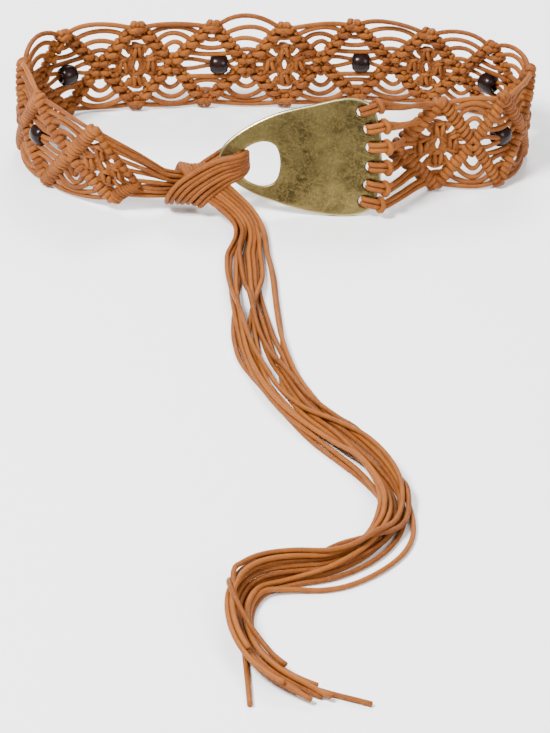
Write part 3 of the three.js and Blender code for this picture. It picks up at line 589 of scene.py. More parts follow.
def hitch(cords, band, diamond, side, level, share):
    """Two wraps of cord on the outside of a ridge and their oval on the inside."""
    rng = cords.rng
    centre = band.on_ridge(diamond, side, level, share)
    along = unit(band.on_ridge(diamond, side, level, 1) - band.on_ridge(diamond, side, level, 0))
    tone = rng.random()
    for half in (-1, 1):
        offset = along * (half * 0.62 + rng.uniform(-0.06, 0.06)) * band.cord
        radius = HITCH_RADIUS * band.ridge * rng.uniform(0.96, 1.07)
        tilt = (rng.uniform(-0.16, 0.16) + 0.1) * band.cord
        turn_round(cords, band, centre + offset, along, radius, HITCH_TURN, tilt, tone)
    direction = heading((20 if side * level < 0 else -8) + rng.uniform(-9, 9))
    half = (OVAL_HALF if share < 0.85 else OVAL_HALF_LAST) * rng.uniform(0.92, 1.08)
    shift = np.array([rng.uniform(-1, 1), rng.uniform(-1, 1), 0]) * 0.0003
    high = OVAL_HIGH * rng.uniform(0.92, 1.08)
    bump(cords, centre + INWARD * 0.34 * band.ridge + shift, direction, half, high, OVAL_DEEP, tone=tone)


def peak(cords, band, diamond, level):
    """The turn of the holding cord at an edge of the band, with its small knot."""
    rng = cords.rng
    vertex = band.on_ridge(diamond, 1, level, 0) - np.array([0, level * 0.0012, 0])
    places, fan, higher = PEAK_UPPER if level > 0 else PEAK_LOWER
    for place in places:
        lean = place * fan + rng.uniform(-0.08, 0.08)
        rise = level * rng.uniform(-0.0005, 0.0005) + higher * place**2
        centre = vertex + np.array([place * band.cord, rise, 0])
        turn_round(cords, band, centre, unit([1, -level * lean, 0]), PEAK_RADIUS * band.ridge, PEAK_TURN)
    low = vertex + INWARD * 0.36 * band.ridge - np.array([0, level * 0.0016, 0])
    bump(cords, low, heading(rng.uniform(-12, 12)), 0.0032, 0.0017, 0.0018)


def build_ridges(band, seed):
    """All holding cords with the hitches on them."""
    holders, hitches = Cords(seed), Cords(seed + 1)
    for start in (1, -1):
        line = []
        for diamond in range(DIAMONDS):
            level = start if diamond % 2 == 0 else -start
            line.append(band.on_ridge(diamond, -1, level, 1, 0.25 * start * band.cord))
            line.append(band.on_ridge(diamond, -1, level, 0.5))
            line.append(band.on_ridge(diamond, -1, level, 0))
            line.append(band.on_ridge(diamond, 1, level, 0.5))
        line.append(band.on_ridge(DIAMONDS - 1, 1, level, 1, 0.25 * start * band.cord))
        holders.add(np.array(line), 0.42 * band.cord, sides=6)
    for diamond in range(DIAMONDS):
        for level in (1, -1):
            peak(hitches, band, diamond, level)
            for side in (-1, 1):
                for share in HITCHES:
                    hitch(hitches, band, diamond, side, level, share)
    return holders, hitches


def build_arcs(band, seed):
    """The loose cords between the diamonds and round the beads."""
    cords = Cords(seed)
    rng = cords.rng
    radius = band.cord / 2
    for diamond, rise in enumerate(TOP_RISES):
        for level in (1, -1):
            if diamond == len(TOP_RISES) - 1:
                depths = STRAIGHT_DEPTHS
            elif level < 0:
                depths = FLOOR_DEPTHS if diamond else DENSE_DEPTHS
            else:
                depths = LOOSE_DEPTHS if rise > 0.03 else BUNCHED_DEPTHS
            for k, share in enumerate(HITCHES):
                lift = rise * max(0.0, 1 - 0.45 * k) if level > 0 else 0.0
                start = band.on_ridge(diamond, 1, level, share, rng.uniform(-0.3, 0.5) * radius)
                end = band.on_ridge(diamond + 1, -1, level, share, rng.uniform(-0.3, 0.5) * radius)
                depth = depths[k] + rng.uniform(-0.008, 0.008) * (k > 0)
                edge = band.top if level > 0 else band.bottom - radius * 0.9 + 0.0002
                crest = edge - level * (depth - lift) * band.height
                sway = rng.uniform(-0.8, 1.2) * radius
                if level < 0 and k == 0:
                    start[1] = max(start[1] - 0.0012, radius)
                    end[1] = max(end[1] - 0.0012, radius)
                    crest = max(crest, radius)
                    sway = -0.6 * radius
                line = arc(start, end, crest, sway=sway, skew=rng.uniform(-0.15, 0.15))
                cords.add(line, radius * ARC_SWELL)
    for index, place in enumerate(BEAD_PLACES):
        diamond = 2 * index + 1
        for level in (1, -1):
            sags = SAG_ABOVE if level > 0 else SAG_BELOW[index]
            for k, sag in enumerate(sags):
                share = HITCHES[k + 1]
                start = band.on_ridge(diamond, -1, level, share, rng.uniform(0, 0.6) * radius)
                end = band.on_ridge(diamond, 1, level, share, rng.uniform(0, 0.6) * radius)
                edge = band.top if level > 0 else band.bottom
                crest = edge - level * (sag + rng.uniform(-0.01, 0.01)) * band.height
                sway = rng.uniform(-0.5, 1.0) * radius
                line = arc(start, end, crest, sway=sway, skew=rng.uniform(-0.12, 0.12))
                cords.add(line, radius * ARC_SWELL)
        centre = bead_place(band, diamond, place)
        for level in (1, -1):
            left = band.on_ridge(diamond, -1, level, HITCHES[4])
            right = band.on_ridge(diamond, 1, level, HITCHES[4])
            offset = np.array([0, level * 0.46 * band.cord, 0])
            inside = np.array([0.0056, 0, 0])
            route = [
                left, (left + centre - inside) / 2 + offset * 1.2, centre - inside + offset, centre + offset,
                centre + inside + offset, (right + centre + inside) / 2 + offset * 1.2, right,
            ]
            cords.add(smooth(np.array(route), 16), radius)
    return cords


def bead_place(band, diamond, place):
    """The middle of a bead, in the flat band."""
    slope = math.atan2(band.height, band.pitch)
    leave = (0.0024 + band.ridge / 2 / math.cos(slope)) / math.tan(slope)
    left = band.on_ridge(diamond, -1, 1, 1)[0] + leave
    right = band.on_ridge(diamond, 1, 1, 1)[0] - leave
    return np.array([left + (right - left) * place, band.middle, 0.0])


def square_knot(cords, centre):
    """Two upright leaves of cord on each face, the bars that cap them and the cords at their sides."""
    rng = cords.rng
    for face in (1, -1):
        lean = rng.uniform(-10, 10)
        for side in (-1, 1):
            direction = upright(lean + rng.uniform(-5, 5) - 9 * side * face)
            at = centre + np.array([side * 0.0015, rng.uniform(-0.5, 0.5) * 0.001, face * 0.0016])
            bump(cords, at, direction, 0.0039, 0.00145, 0.0019, up=INWARD * face)
        for end in (1, -1):
            direction = heading(rng.uniform(-14, 14) + 12 * end * face)
            at = centre + np.array([rng.uniform(-0.4, 0.4) * 0.001, end * 0.0041, face * 0.0009])
            bump(cords, at, direction, 0.0034, 0.00135, 0.0016, up=INWARD * face)
    for side in (-1, 1):
        at = centre + np.array([side * 0.0032, 0, 0])
        bump(cords, at, upright(rng.uniform(-8, 8)), 0.0034, 0.0013, 0.0016)


def build_knots(band, seed):
    """The four square knots inside every second diamond and the cords that join them."""
    cords = Cords(seed)
    rng = cords.rng
    radius = band.cord / 2
    beside, rise = 0.19 * band.pitch, 0.175 * band.height
    for diamond in range(0, DIAMONDS, 2):
        centre = np.array([diamond * band.pitch, band.middle, 0])
        for level in (1, -1):
            square_knot(cords, centre + np.array([0, level * rise, 0]))
            square_knot(cords, centre + np.array([level * beside, 0, 0]))
            short = [band.on_ridge(diamond, side, level, 0.26) for side in (-1, 1)]
            crest = (band.top if level > 0 else band.bottom) - level * 0.155 * band.height
            cords.add(arc(*short, crest, sway=radius * 0.4), radius)
            for side in (-1, 1):
                way = np.array([side, level, 0]) * 0.001
                upper = centre + np.array([side * 0.0019, level * (rise + 0.0034), 0])
                aside = centre + np.array([side * beside, level * 0.0034, 0])
                for leave, to_side, place, sag in KNOT_JOINS:
                    if isinstance(leave, tuple):
                        start = upper + way * (*leave, 0)
                    else:
                        start = band.on_ridge(diamond, side, level, leave)
                    end = (aside if to_side else upper) + way * (*place, 0)
                    depth = rng.uniform(-0.5, 0.5) * radius
                    middle = (start + end) / 2 + np.array([0, -level * sag * 0.001, depth])
                    cords.add(smooth(np.array([start, middle, end]), 8), radius * JOIN_SWELL)
                depth = rng.uniform(-0.6, 0.6) * radius
                across = centre + np.array([side * beside * 0.45, -level * 0.0014, depth])
                route = [upper + way * (-1.0, -6.2, 0), across, aside + way * (-1.6, -5.2, 0)]
                cords.add(smooth(np.array(route), 7), radius * CROSS_SWELL)
    return cords


# ---- The buckle ----


class Plate:
    """The plate's own frame: along it, up its face, and out of its front."""

    def __init__(self, sizes, loop_width):
        self.sizes = sizes
        lean = sizes.lean
        self.up = np.array([0, math.sin(lean), math.cos(lean)])
        self.front = np.array([0, -math.cos(lean), math.sin(lean)])
        self.foot = np.array([-sizes.tip * loop_width, 0, sizes.thickness / 2 * math.sin(lean)]) + ORIGIN

    def at(self, along, up, out):
        """Points of the part at places on the plate."""
        along, up, out = np.broadcast_arrays(along, up, out)
        place = self.foot + np.multiply.outer(along, [1.0, 0, 0])
        return place + np.multiply.outer(up, self.up) + np.multiply.outer(out, self.front)

    def outline(self, rows, count):
        """Evenly spaced points of a closed outline."""
        points = np.array(rows) * (self.sizes.length, self.sizes.height)
        wrapped = np.vstack([points[-3:], points, points[:3]])
        total = len(wrapped) - 1
        shares = np.linspace(3, 3 + len(points), 40 * len(points) + 1) / total
        fine = spline(wrapped, shares)
        run = np.concatenate([[0], np.cumsum(np.linalg.norm(np.diff(fine, axis=0), axis=1))])
        want = np.linspace(0, run[-1], count, endpoint=False)
        return np.column_stack([np.interp(want, run, fine[:, k]) for k in range(2)])

    def holes(self):
        """Outward direction and middle of each small hole."""
        points = np.array(BUCKLE_OUTLINE) * (self.sizes.length, self.sizes.height)
        total = len(points) - 1
        made = []
        for round_share, _, _ in LOOPS:
            place = WIDE_END[0] + (WIDE_END[1] - WIDE_END[0]) * round_share
            near = spline(points, np.array([place - 0.01, place, place + 0.01]) / total)
            tangent = unit(near[2] - near[0])
            outward = np.array([tangent[1], -tangent[0]])
            made.append((outward, near[1] - outward * self.sizes.inset))
        return made


def distance_to(points, outline):
    """Distance from each point to a closed outline."""
    a, b = outline, np.roll(outline, -1, axis=0)
    edge = b - a
    rel = points[:, None] - a[None]
    t = np.clip((rel * edge).sum(-1) / np.maximum((edge**2).sum(-1), 1e-15), 0, 1)
    return np.linalg.norm(rel - t[..., None] * edge, axis=-1).min(axis=1)


def inside(points, outline):
    """Which points lie inside a closed outline."""
    a, b = outline, np.roll(outline, -1, axis=0)
    x, y = points[:, :1], points[:, 1:]
    spans = (a[:, 1] > y) != (b[:, 1] > y)
    rise = np.where(b[:, 1] == a[:, 1], 1e-12, b[:, 1] - a[:, 1])
    cross = (b[:, 0] - a[:, 0]) * (y - a[:, 1]) / rise + a[:, 0]
    return ((spans & (x < cross)).sum(axis=1) % 2) == 1


def grown(outline, amount):
    """An outline moved outwards; the points run anticlockwise."""
    tangent = unit(np.roll(outline, -1, axis=0) - np.roll(outline, 1, axis=0))
    return outline + np.column_stack([tangent[:, 1], -tangent[:, 0]]) * amount


def build_plate(plate):
    """The domed plate with rounded rims, its large hole and six small ones."""
    sizes = plate.sizes
    outer = plate.outline(BUCKLE_OUTLINE, 150)
    tip = plate.outline(TIP_HOLE, 66)
    turn = np.linspace(0, 2 * np.pi, 20, endpoint=False)
    circle = np.column_stack([np.cos(turn), np.sin(turn)]) * sizes.hole / 2
    borders = [outer, tip, *(middle + circle for _, middle in plate.holes())]
    ways = [-1] + [1] * (len(borders) - 1)
    rings, edges, total = [], [], 0
    for index, (border, way) in enumerate(zip(borders, ways)):
        size = len(border)
        edges += [(total + k, total + (k + 1) % size) for k in range(size)]
        for inset in RIM_STEPS if index < 2 else RIM_STEPS[:-1]:
            rings.append(grown(border, way * inset * RIM))
            total += size
    gx, gy = np.meshgrid(np.arange(0, sizes.length, GRID), np.arange(0, sizes.height, GRID))
    grid = np.column_stack([gx.ravel(), gy.ravel()])
    clear = inside(grid, outer) & (distance_to(grid, outer) > 2.2 * RIM)
    for border in borders[1:]:
        clear &= ~inside(grid, border) & (distance_to(grid, border) > 1.8 * RIM)
    points = np.vstack([*rings, grid[clear]])
    verts, _, faces, *_ = delaunay_2d_cdt([Vector(p) for p in points], edges, [], 0, 1e-7)
    verts = np.array([list(v) for v in verts])
    faces = np.array([list(f) for f in faces])
    middles = verts[faces].mean(axis=1)
    keep = inside(middles, outer)
    for border in borders[1:]:
        keep &= ~inside(middles, border)
    faces = faces[keep]
    far = [distance_to(verts, border) for border in borders]
    from_outer, far = far[0], np.min(far, axis=0)
    round_off = RIM - np.sqrt(np.maximum(0, RIM**2 - np.maximum(0, RIM - far) ** 2))
    across = np.clip(from_outer / (0.36 * sizes.height), 0, 1)
    dome = sizes.dome * (np.sin(across * np.pi / 2) ** 1.2 - 0.45)
    half = sizes.thickness / 2
    front = plate.at(verts[:, 0], verts[:, 1], half + dome - round_off)
    back = plate.at(verts[:, 0], verts[:, 1], -half + dome + round_off)
    points = np.vstack([front, back])
    points[:, 2] = np.maximum(points[:, 2], 0.00002)
    count = len(verts)
    quads = []
    for border, way in zip(borders, ways):
        ids = [int(np.argmin(np.linalg.norm(verts - p, axis=1))) for p in border]
        for a, b in zip(ids, ids[1:] + ids[:1]):
            quads.append((a, a + count, b + count, b) if way < 0 else (b, b + count, a + count, a))
    made = mesh_object("buckle", points, np.array(quads), np.vstack([faces, faces[:, ::-1] + count]))
    # A bright band on the rounded outer rim: partly wear, partly a painted highlight.
    rim_wear_and_highlight = np.clip(1 - np.abs(from_outer - 0.5 * RIM) / (0.5 * RIM), 0, 1)
    # Painted shade along every border: darkest on the side walls and at the edges of the holes.
    painted_edge_shade = np.clip(1 - far / (0.4 * RIM), 0, 1)
    for name, values in (("rim", rim_wear_and_highlight), ("edge", painted_edge_shade)):
        attribute = made.data.attributes.new(name, "FLOAT", "POINT")
        attribute.data.foreach_set("value", np.concatenate([values, values]).astype(np.float32))
    return made


def build_loop(band, plate, index):
    """One loop of cord hitched through a small hole and led to the last diamond."""
    cords = Cords(40 + index)
    outward, middle = plate.holes()[index]
    sizes = plate.sizes
    pull = PULLS[index]
    outward = unit(outward * (1 - pull) + np.array([1.0, 0.12 * np.sign(outward[1])]) * pull)
    outline = plate.outline(BUCKLE_OUTLINE, 400)
    reach = np.linspace(0, 0.03, 301)
    inset = float(reach[inside(middle + np.outer(reach, outward), outline)].max())
    edge = middle + outward * inset
    radius = 0.57 * band.cord
    half = sizes.thickness / 2
    away = outward[0] * np.array([1.0, 0, 0]) + outward[1] * plate.up
    side = np.cross(away, plate.front)
    base = plate.at(edge[0], edge[1], 0.0)
    lead = np.array([1.0, 0, 0]) * 0.75 + away * 0.25

    def local(a, b, c):
        return base + away * a + plate.front * b + side * c

    _, level, shares = LOOPS[index]
    route = []
    for sign in (1, -1):
        share = shares[0 if sign * level > 0 else 1]
        target = band.bend(band.on_ridge(DIAMONDS - 1, 1, level, share, -0.0004))[0]
        c = sign * 0.00152
        start = local(0.0022, half + radius * 0.9, c)
        bend_at = start + (target - start) * 0.35 + lead * 0.0022
        if index < 4:
            bend_at = bend_at + plate.front * 0.0012
        part = [
            target,
            target + (bend_at - target) * 0.5 + np.array([0, 0, 0.0006]),
            bend_at,
            local(0.0042, half + radius * 0.7, c),
            local(0.0014, half + radius * 1.15, c),
            local(-0.0024, half + radius * 1.15, c),
            local(-inset + 0.0002, half + radius * 0.7, c * 0.95),
            local(-inset - 0.0004, 0, c * 0.92),
            local(-inset + 0.0004, -half - radius * 0.8, c * 0.95),
            local(-0.0024, -half - radius * 1.15, c),
            local(0.0016, -half - radius * 0.9, c * 1.3),
            local(0.0026, -radius * 0.4, c * 1.95),
            local(0.0036, half + radius * 1.2, c * 2.15),
            local(0.0048, half + radius * 2.6, c * 1.3),
        ]
        route = part if not route else route + [local(0.0052, half + radius * 2.9, 0)] + part[::-1]
    cords.add(smooth(np.array(route), 96), radius)
    return cords


# ---- The gathered cords ----


def hitch_rows(plate, sizes):
    """The hitch's places, width directions and sizes."""
    tip = plate.at(0.0, BUCKLE_OUTLINE[0][1] * plate.sizes.height, 0.0)
    rows = []
    for table, width, thickness in (
        (STANDING, sizes.bundle, sizes.bundle),
        (WRAP, sizes.wrap_width, sizes.wrap_thickness),
    ):
        for place, wide, w, t in table:
            at = tip + np.array(place) * sizes.bundle
            at[2] = max(at[2], t * thickness / 2)
            rows.append((at, np.array(wide, float), w * width, t * thickness))
    return rows


def strand_path(rows, lanes, shares):
    """A strand's line along a strap of rows, with its lane at each share."""
    centres = np.array([row[0] for row in rows])
    wides = np.array([row[1] for row in rows])
    sizes = np.array([row[2:] for row in rows])
    at = spline(centres, shares)
    along = unit(spline(centres, shares + 1e-3) - spline(centres, shares - 1e-3))
    wide = spline(wides, shares)
    thick = unit(np.cross(along, wide))
    wide = unit(np.cross(thick, along))
    size = spline(sizes, shares)
    return at + wide * (lanes[:, :1] * size[:, :1]) + thick * (lanes[:, 1:] * size[:, 1:])


def build_gather(band, plate, sizes):
    """The twelve cords from the first diamond through the plate and round themselves."""
    cords = Cords(60)
    rows = hitch_rows(plate, sizes)
    turn = (len(STANDING) - 0.5) / (len(rows) - 1)
    radius = 0.485 * band.cord
    shares = np.linspace(0, 1, 96)
    ends = []
    for level, share, standing, wrap in GATHERED:
        blend = eased((shares - turn + 0.06) / 0.12)[:, None]
        lanes = np.array(standing) * (1 - blend) + np.array(wrap) * blend
        waves = cords.rng.uniform(2, 4) * shares * 2 * np.pi + cords.rng.uniform(0, 6)
        lanes = lanes + np.column_stack([0.014 * np.sin(waves), 0.03 * np.sin(1.3 * waves)])
        path = strand_path(rows, lanes, shares)
        start = band.bend(band.on_ridge(0, -1, level, share, -0.0002))[0]
        first = path[3]
        middle = start + (first - start) * 0.5 + np.array([0, -0.001, 0.0006 * level])
        lead = smooth(np.array([start, middle, first, path[6]]), 18)[:-4]
        line = smooth(np.vstack([lead, path[6:]]), 110)
        line[:, 2] = np.maximum(line[:, 2], radius)
        run = np.linspace(0, 1, len(line))
        swell = np.clip((run - 0.3) / 0.08, 0, 1) * np.clip((0.94 - run) / 0.1, 0, 1)
        cords.add(line, radius * (1 + WRAP_SWELL * swell))
        ends.append((path[-8:], wrap))
    return cords, ends


# ---- The free ends ----


def tail_lanes(rng):
    """Each free end's place across the bundle at the stations, from -1 to 1: neighbours swap on the way."""
    count = len(TAIL_STRANDS)
    order = list(range(count))
    rows = []
    for station in range(TAIL_STATIONS):
        for _ in range(TAIL_SWAPS if station else 0):
            first = rng.randrange(count - 3)
            other = first + rng.randint(1, 3)
            order[first], order[other] = order[other], order[first]
        row = [0.0] * count
        for rank, strand in enumerate(order):
            row[strand] = (rank + rng.uniform(-0.4, 0.4)) / (count - 1) * 2 - 1
        rows.append(row)
    rows[-2][LEFT_STRAND] = rows[-3][LEFT_STRAND] = 1.15
    return np.array(rows)


def piled(across, present, cord):
    """The height of each cord, smoothed along it: every second cord lies on the others."""
    strands, count = across.shape
    order = np.concatenate([np.arange(0, strands, 2), np.arange(1, strands, 2)])
    heights = np.full((strands, count), cord / 2)
    kernel = np.hanning(13)
    kernel /= kernel.sum()
    for _ in range(4):
        for place in range(1, strands):
            k, below = order[place], order[:place]
            apart = np.abs(across[below] - across[k])
            rise = np.sqrt(np.maximum(cord**2 - apart**2, 0))
            needed = np.where((apart < cord) & present[below], heights[below] + rise, 0).max(axis=0)
            heights[k] = np.maximum(heights[k], needed)
        for k in range(strands):
            padded = np.pad(heights[k], 6, mode="edge")
            heights[k] = np.maximum(np.convolve(padded, kernel, mode="valid"), cord / 2)
    return heights


def build_tail(band, ends, sizes, material):
    """The twelve free ends, each a cord of its own on the surface."""
    cord = band.cord
    rng = random.Random(83)
    hitch_end = np.mean([path[-1] for path, _ in ends], axis=0)
    direction = unit(hitch_end - np.mean([path[-2] for path, _ in ends], axis=0))
    route = np.vstack([[hitch_end], np.array(TAIL_ROUTE) * 0.001 + ORIGIN])
    count = 240
    middle = smooth(route, count)
    total = length_of(middle)
    shares = np.linspace(0, 1, count)
    along = unit(np.gradient(middle, axis=0))
    right = unit(np.column_stack([along[:, 1], -along[:, 0], np.zeros(count)]))
    width = np.interp(shares, *zip(*TAIL_SECTIONS)) * sizes.width
    across = (spline(tail_lanes(rng), shares) * (width[:, None] / 2)).T
    for k, (_, stray) in enumerate(TAIL_STRANDS):
        if stray is not None:
            out, start, stop = stray
            part = np.clip((shares - start) / (stop - start), 0, 1)
            across[k] += (out * cord - across[k]) * eased(np.minimum(part, 1 - part) / 0.42)
    cuts = np.array([cut for cut, _ in TAIL_STRANDS])
    heights = piled(across, shares[None] <= cuts[:, None], cord)
    order = sorted(range(len(ends)), key=lambda k: ends[k][1][0])
    for strand, index in enumerate(order):
        kept = shares <= cuts[strand]
        path = middle[kept] + right[kept] * across[strand][kept, None]
        path[:, 2] = heights[strand][kept]
        run = shares[kept] * total
        start_path = ends[index][0]
        blend = eased(run / 0.05)[:, None]
        leave = start_path[-1] + np.outer(run, direction * np.array([1, 1, 0.6]))
        leave[:, 2] = np.maximum(leave[:, 2], path[:, 2])
        path = leave * (1 - blend) + path * blend
        if strand == LEFT_STRAND:
            away = np.array(LEFT_END) * 0.001 + ORIGIN
            cut_at = int(np.argmin(np.linalg.norm(path - away[0], axis=1)))
            path = np.vstack([path[: cut_at - 8], away[1:]])
        path = smooth(np.vstack([start_path[2:-1:2], path[::3], path[-1:]]), 190)
        path[:, 2] = np.maximum(path[:, 2], cord / 2 + CLEAR)
        cords = Cords(200 + strand)
        cords.add(path, cord / 2, tone=rng.random())
        piece = cords.build(f"tail_strand_{strand + 1}")
        place_piece(piece, material, "tail_cords")


# ---- Materials ----


class Field:
    """A socket in a node tree that can be used in sums."""

    def __init__(self, tree, socket):
        self.tree, self.socket = tree, socket

    def maths(self, operation, other=None, swap=False):
        """A Math node on this value and another."""
        node = self.tree.nodes.new("ShaderNodeMath")
        node.operation = operation
        for slot, value in zip(node.inputs, (other, self) if swap else (self, other)):
            if isinstance(value, Field):
                self.tree.links.new(value.socket, slot)
            elif value is not None:
                slot.default_value = value
        return Field(self.tree, node.outputs[0])

    def __add__(self, other):
        return self.maths("ADD", other)

    __radd__ = __add__

    def __mul__(self, other):
        return self.maths("MULTIPLY", other)

    __rmul__ = __mul__

    def __sub__(self, other):
        return self.maths("SUBTRACT", other)

    def __rsub__(self, other):
        return self.maths("SUBTRACT", other, swap=True)

    def sine(self):
        return self.maths("SINE")

    def absolute(self):
        return self.maths("ABSOLUTE")

    def larger(self, other):
        return self.maths("MAXIMUM", other)

    def limited(self):
        """This value, held between 0 and 1."""
        self.socket.node.use_clamp = True
        return self


class Shader:
    """A material's node tree with its principled shader."""

    def __init__(self, name):
        self.material = bpy.data.materials.new(name)
        self.material.use_nodes = True
        self.tree = self.material.node_tree
        self.surface = next(n for n in self.tree.nodes if n.type == "BSDF_PRINCIPLED")

    def node(self, kind, settings=None, output=0, **values):
        """Any node: its type, its settings and its socket values or links."""
        node = self.tree.nodes.new(kind)
        for key, value in (settings or {}).items():
            setattr(node, key, value)
        for key, value in values.items():
            self.put(node.inputs[key.replace("_", " ")], value)
        return Field(self.tree, node.outputs[output])

    def put(self, socket, value):
        if isinstance(value, Field):
            self.tree.links.new(value.socket, socket)
        else:
            socket.default_value = value

    def mix(self, factor, first, second):
        """A colour between two others."""
        node = self.tree.nodes.new("ShaderNodeMix")
        node.data_type = "RGBA"
        for name, value in (("Factor_Float", factor), ("A_Color", first), ("B_Color", second)):
            socket = next(s for s in node.inputs if s.identifier == name)
            plain = name != "Factor_Float" and not isinstance(value, Field)
            self.put(socket, (*value[:3], 1) if plain else value)
        out = next(s for s in node.outputs if s.identifier == "Result_Color")
        return Field(self.tree, out)

    def set(self, **values):
        for key, value in values.items():
            self.put(self.surface.inputs[key.replace("_", " ")], value)

    def attribute(self, name):
        return self.node("ShaderNodeAttribute", {"attribute_name": name}, output=2)

    def noise(self, scale, detail=3.0, rough=0.55, stretch=None):
        place = self.node("ShaderNodeTexCoord", output=3)
        if stretch is not None:
            place = self.node("ShaderNodeMapping", Vector=place, Scale=stretch)
        return self.node("ShaderNodeTexNoise", Vector=place, Scale=scale, Detail=detail, Roughness=rough)

    def scratch(self, angle, scale):
        """Noise drawn out into long streaks at an angle to the plate's length."""
        place = self.node("ShaderNodeTexCoord", output=3)
        turned = self.node(
            "ShaderNodeMapping", {"vector_type": "TEXTURE"}, Vector=place, Rotation=(0, angle, 0),
            Scale=(26, 1, 1),
        )
        return self.node("ShaderNodeTexNoise", Vector=turned, Scale=scale, Detail=1.0, Roughness=0.5)

    def parts(self, vector):
        node = self.tree.nodes.new("ShaderNodeSeparateXYZ")
        self.tree.links.new(vector.socket, node.inputs[0])
        return [Field(self.tree, out) for out in node.outputs]

    def bump(self, height, strength, distance):
        self.put(
            self.surface.inputs["Normal"],
            self.node("ShaderNodeBump", Height=height, Strength=strength, Distance=distance),
        )


def cord_material(looks):
    """Waxed cord: a fine diagonal plait, uneven colour and a soft sheen."""
    shader = Shader("waxed_cord")
    u, v, _ = shader.parts(shader.node("ShaderNodeTexCoord", output=2))
    plait_a = ((u * 6.0 + v * 7.0) * 6.2832).sine()
    plait_b = ((u * 6.0 - v * 7.0) * 6.2832).sine()
    weave = (plait_a * plait_b) * 0.5 + 0.5
    tone = shader.attribute("tone")
    patches = shader.noise(140.0, 3.0, 0.6)
    fine = shader.noise(900.0, 2.0, 0.5)
    amount = (tone * 0.6 + patches * 0.9 - 0.4 + (weave - 0.5) * 0.42).limited()
    colour = shader.mix(amount, looks.cord_colour, looks.cord_deep)
    light = tuple(min(1.0, c * 1.18 + 0.01) for c in looks.cord_colour)
    colour = shader.mix((fine * 1.6 - 0.72).limited(), colour, light)
    shader.set(Base_Color=colour, Roughness=(patches * 0.3 + 0.36))
    shader.set(Specular_IOR_Level=0.14)
    shader.bump(weave * 0.7 + fine * 0.3, 0.55, 0.0004)
    return shader.material


def wood_material(looks):
    """Dark polished bead wood with a faint grain."""
    shader = Shader("dark_wood")
    grain = shader.noise(260.0, 4.0, 0.6, (1.0, 1.0, 0.25))
    lighter = (looks.wood_colour[0] * 2.4, looks.wood_colour[1] * 1.8, looks.wood_colour[2] * 1.6)
    shader.set(Base_Color=shader.mix((grain * 2.2 - 0.85).limited(), looks.wood_colour, lighter))
    shader.set(Roughness=grain * 0.15 + 0.2, Coat_Weight=0.12, Coat_Roughness=0.12)
    shader.set(Specular_IOR_Level=0.12)
    shader.bump(grain, 0.12, 0.0003)
    return shader.material


def brass_material(looks):
    """Aged brass: blotched patina, fine scratches every way, a bright rim that is partly wear and partly a
    painted highlight, and painted shade along the plate's borders.
    """
    shader = Shader("aged_brass")
    blotch = shader.noise(48.0, 4.0, 0.65)
    cloud = shader.noise(17.0, 2.0, 0.5)
    grain = shader.noise(760.0, 3.0, 0.7)
    rim = shader.attribute("rim")
    scratches = (0.045 - (shader.scratch(0.35, 210.0) - 0.5).absolute()) * 13.0
    for angle, scale in ((1.25, 170.0), (2.2, 240.0), (2.85, 190.0)):
        line = (0.04 - (shader.scratch(angle, scale) - 0.5).absolute()) * 13.0
        scratches = scratches.larger(line)
    scratches = (scratches * (blotch * 1.6 - 0.25)).limited()
    patina = (blotch * 3.4 + cloud * 3.2 - 2.95 - rim).limited()
    colour = shader.mix(patina, looks.brass_colour, looks.brass_dark)
    pale = tuple(min(1.0, c * 2.2) for c in looks.brass_colour)
    colour = shader.mix((scratches * 0.55 + grain * 1.1 - 0.55).limited(), colour, pale)
    # The outer rim in pale brass: partly wear, partly a painted highlight.
    colour = shader.mix((rim * 0.8).limited(), colour, (0.62, 0.52, 0.28))
    # Painted shade in the patina colour along the borders, the side walls and the holes.
    colour = shader.mix((shader.attribute("edge") * 0.85).limited(), colour, looks.brass_dark)
    shader.set(Base_Color=colour, Metallic=1.0)
    shader.set(Roughness=(blotch * 0.3 + grain * 0.14 + 0.16 - rim * 0.08).limited())
    shader.bump(grain * 0.35 + blotch * 0.45 - scratches * 0.2, 0.3, 0.0004)
    return shader.material


def floor_material(looks):
    """A plain pale floor."""
    shader = Shader("pale_floor")
    shader.set(Base_Color=(*looks.floor_colour, 1), Roughness=0.9, Specular_IOR_Level=0.1)
    return shader.material


def material_named(name, make, looks):
    return bpy.data.materials.get(name) or make(looks)


# ---- Operators ----


def settings(context):
    scene = context.scene
    return scene.rope_band, scene.rope_buckle, scene.rope_tail, scene.rope_looks


def cord_look(context):
    return material_named("waxed_cord", cord_material, settings(context)[3])


class ROPE_OT_band(bpy.types.Operator):
    """Makes the knotted band: holding cords, hitches, loose cords and square knots."""

    bl_idname = "rope.band"
    bl_label = "Knotted band"

    def execute(self, context):
        sizes = settings(context)[0]
        band = Band(sizes)
        material = cord_look(context)
        holders, hitches = build_ridges(band, sizes.seed)
        parts = (
            ("band_holding_cords", holders),
            ("band_hitches", hitches),
            ("band_loose_cords", build_arcs(band, sizes.seed + 2)),
            ("band_square_knots", build_knots(band, sizes.seed + 3)),
        )
        for name, cords in parts:
            place_piece(cords.build(name, band.bend), material, "cord_net")
        return {"FINISHED"}


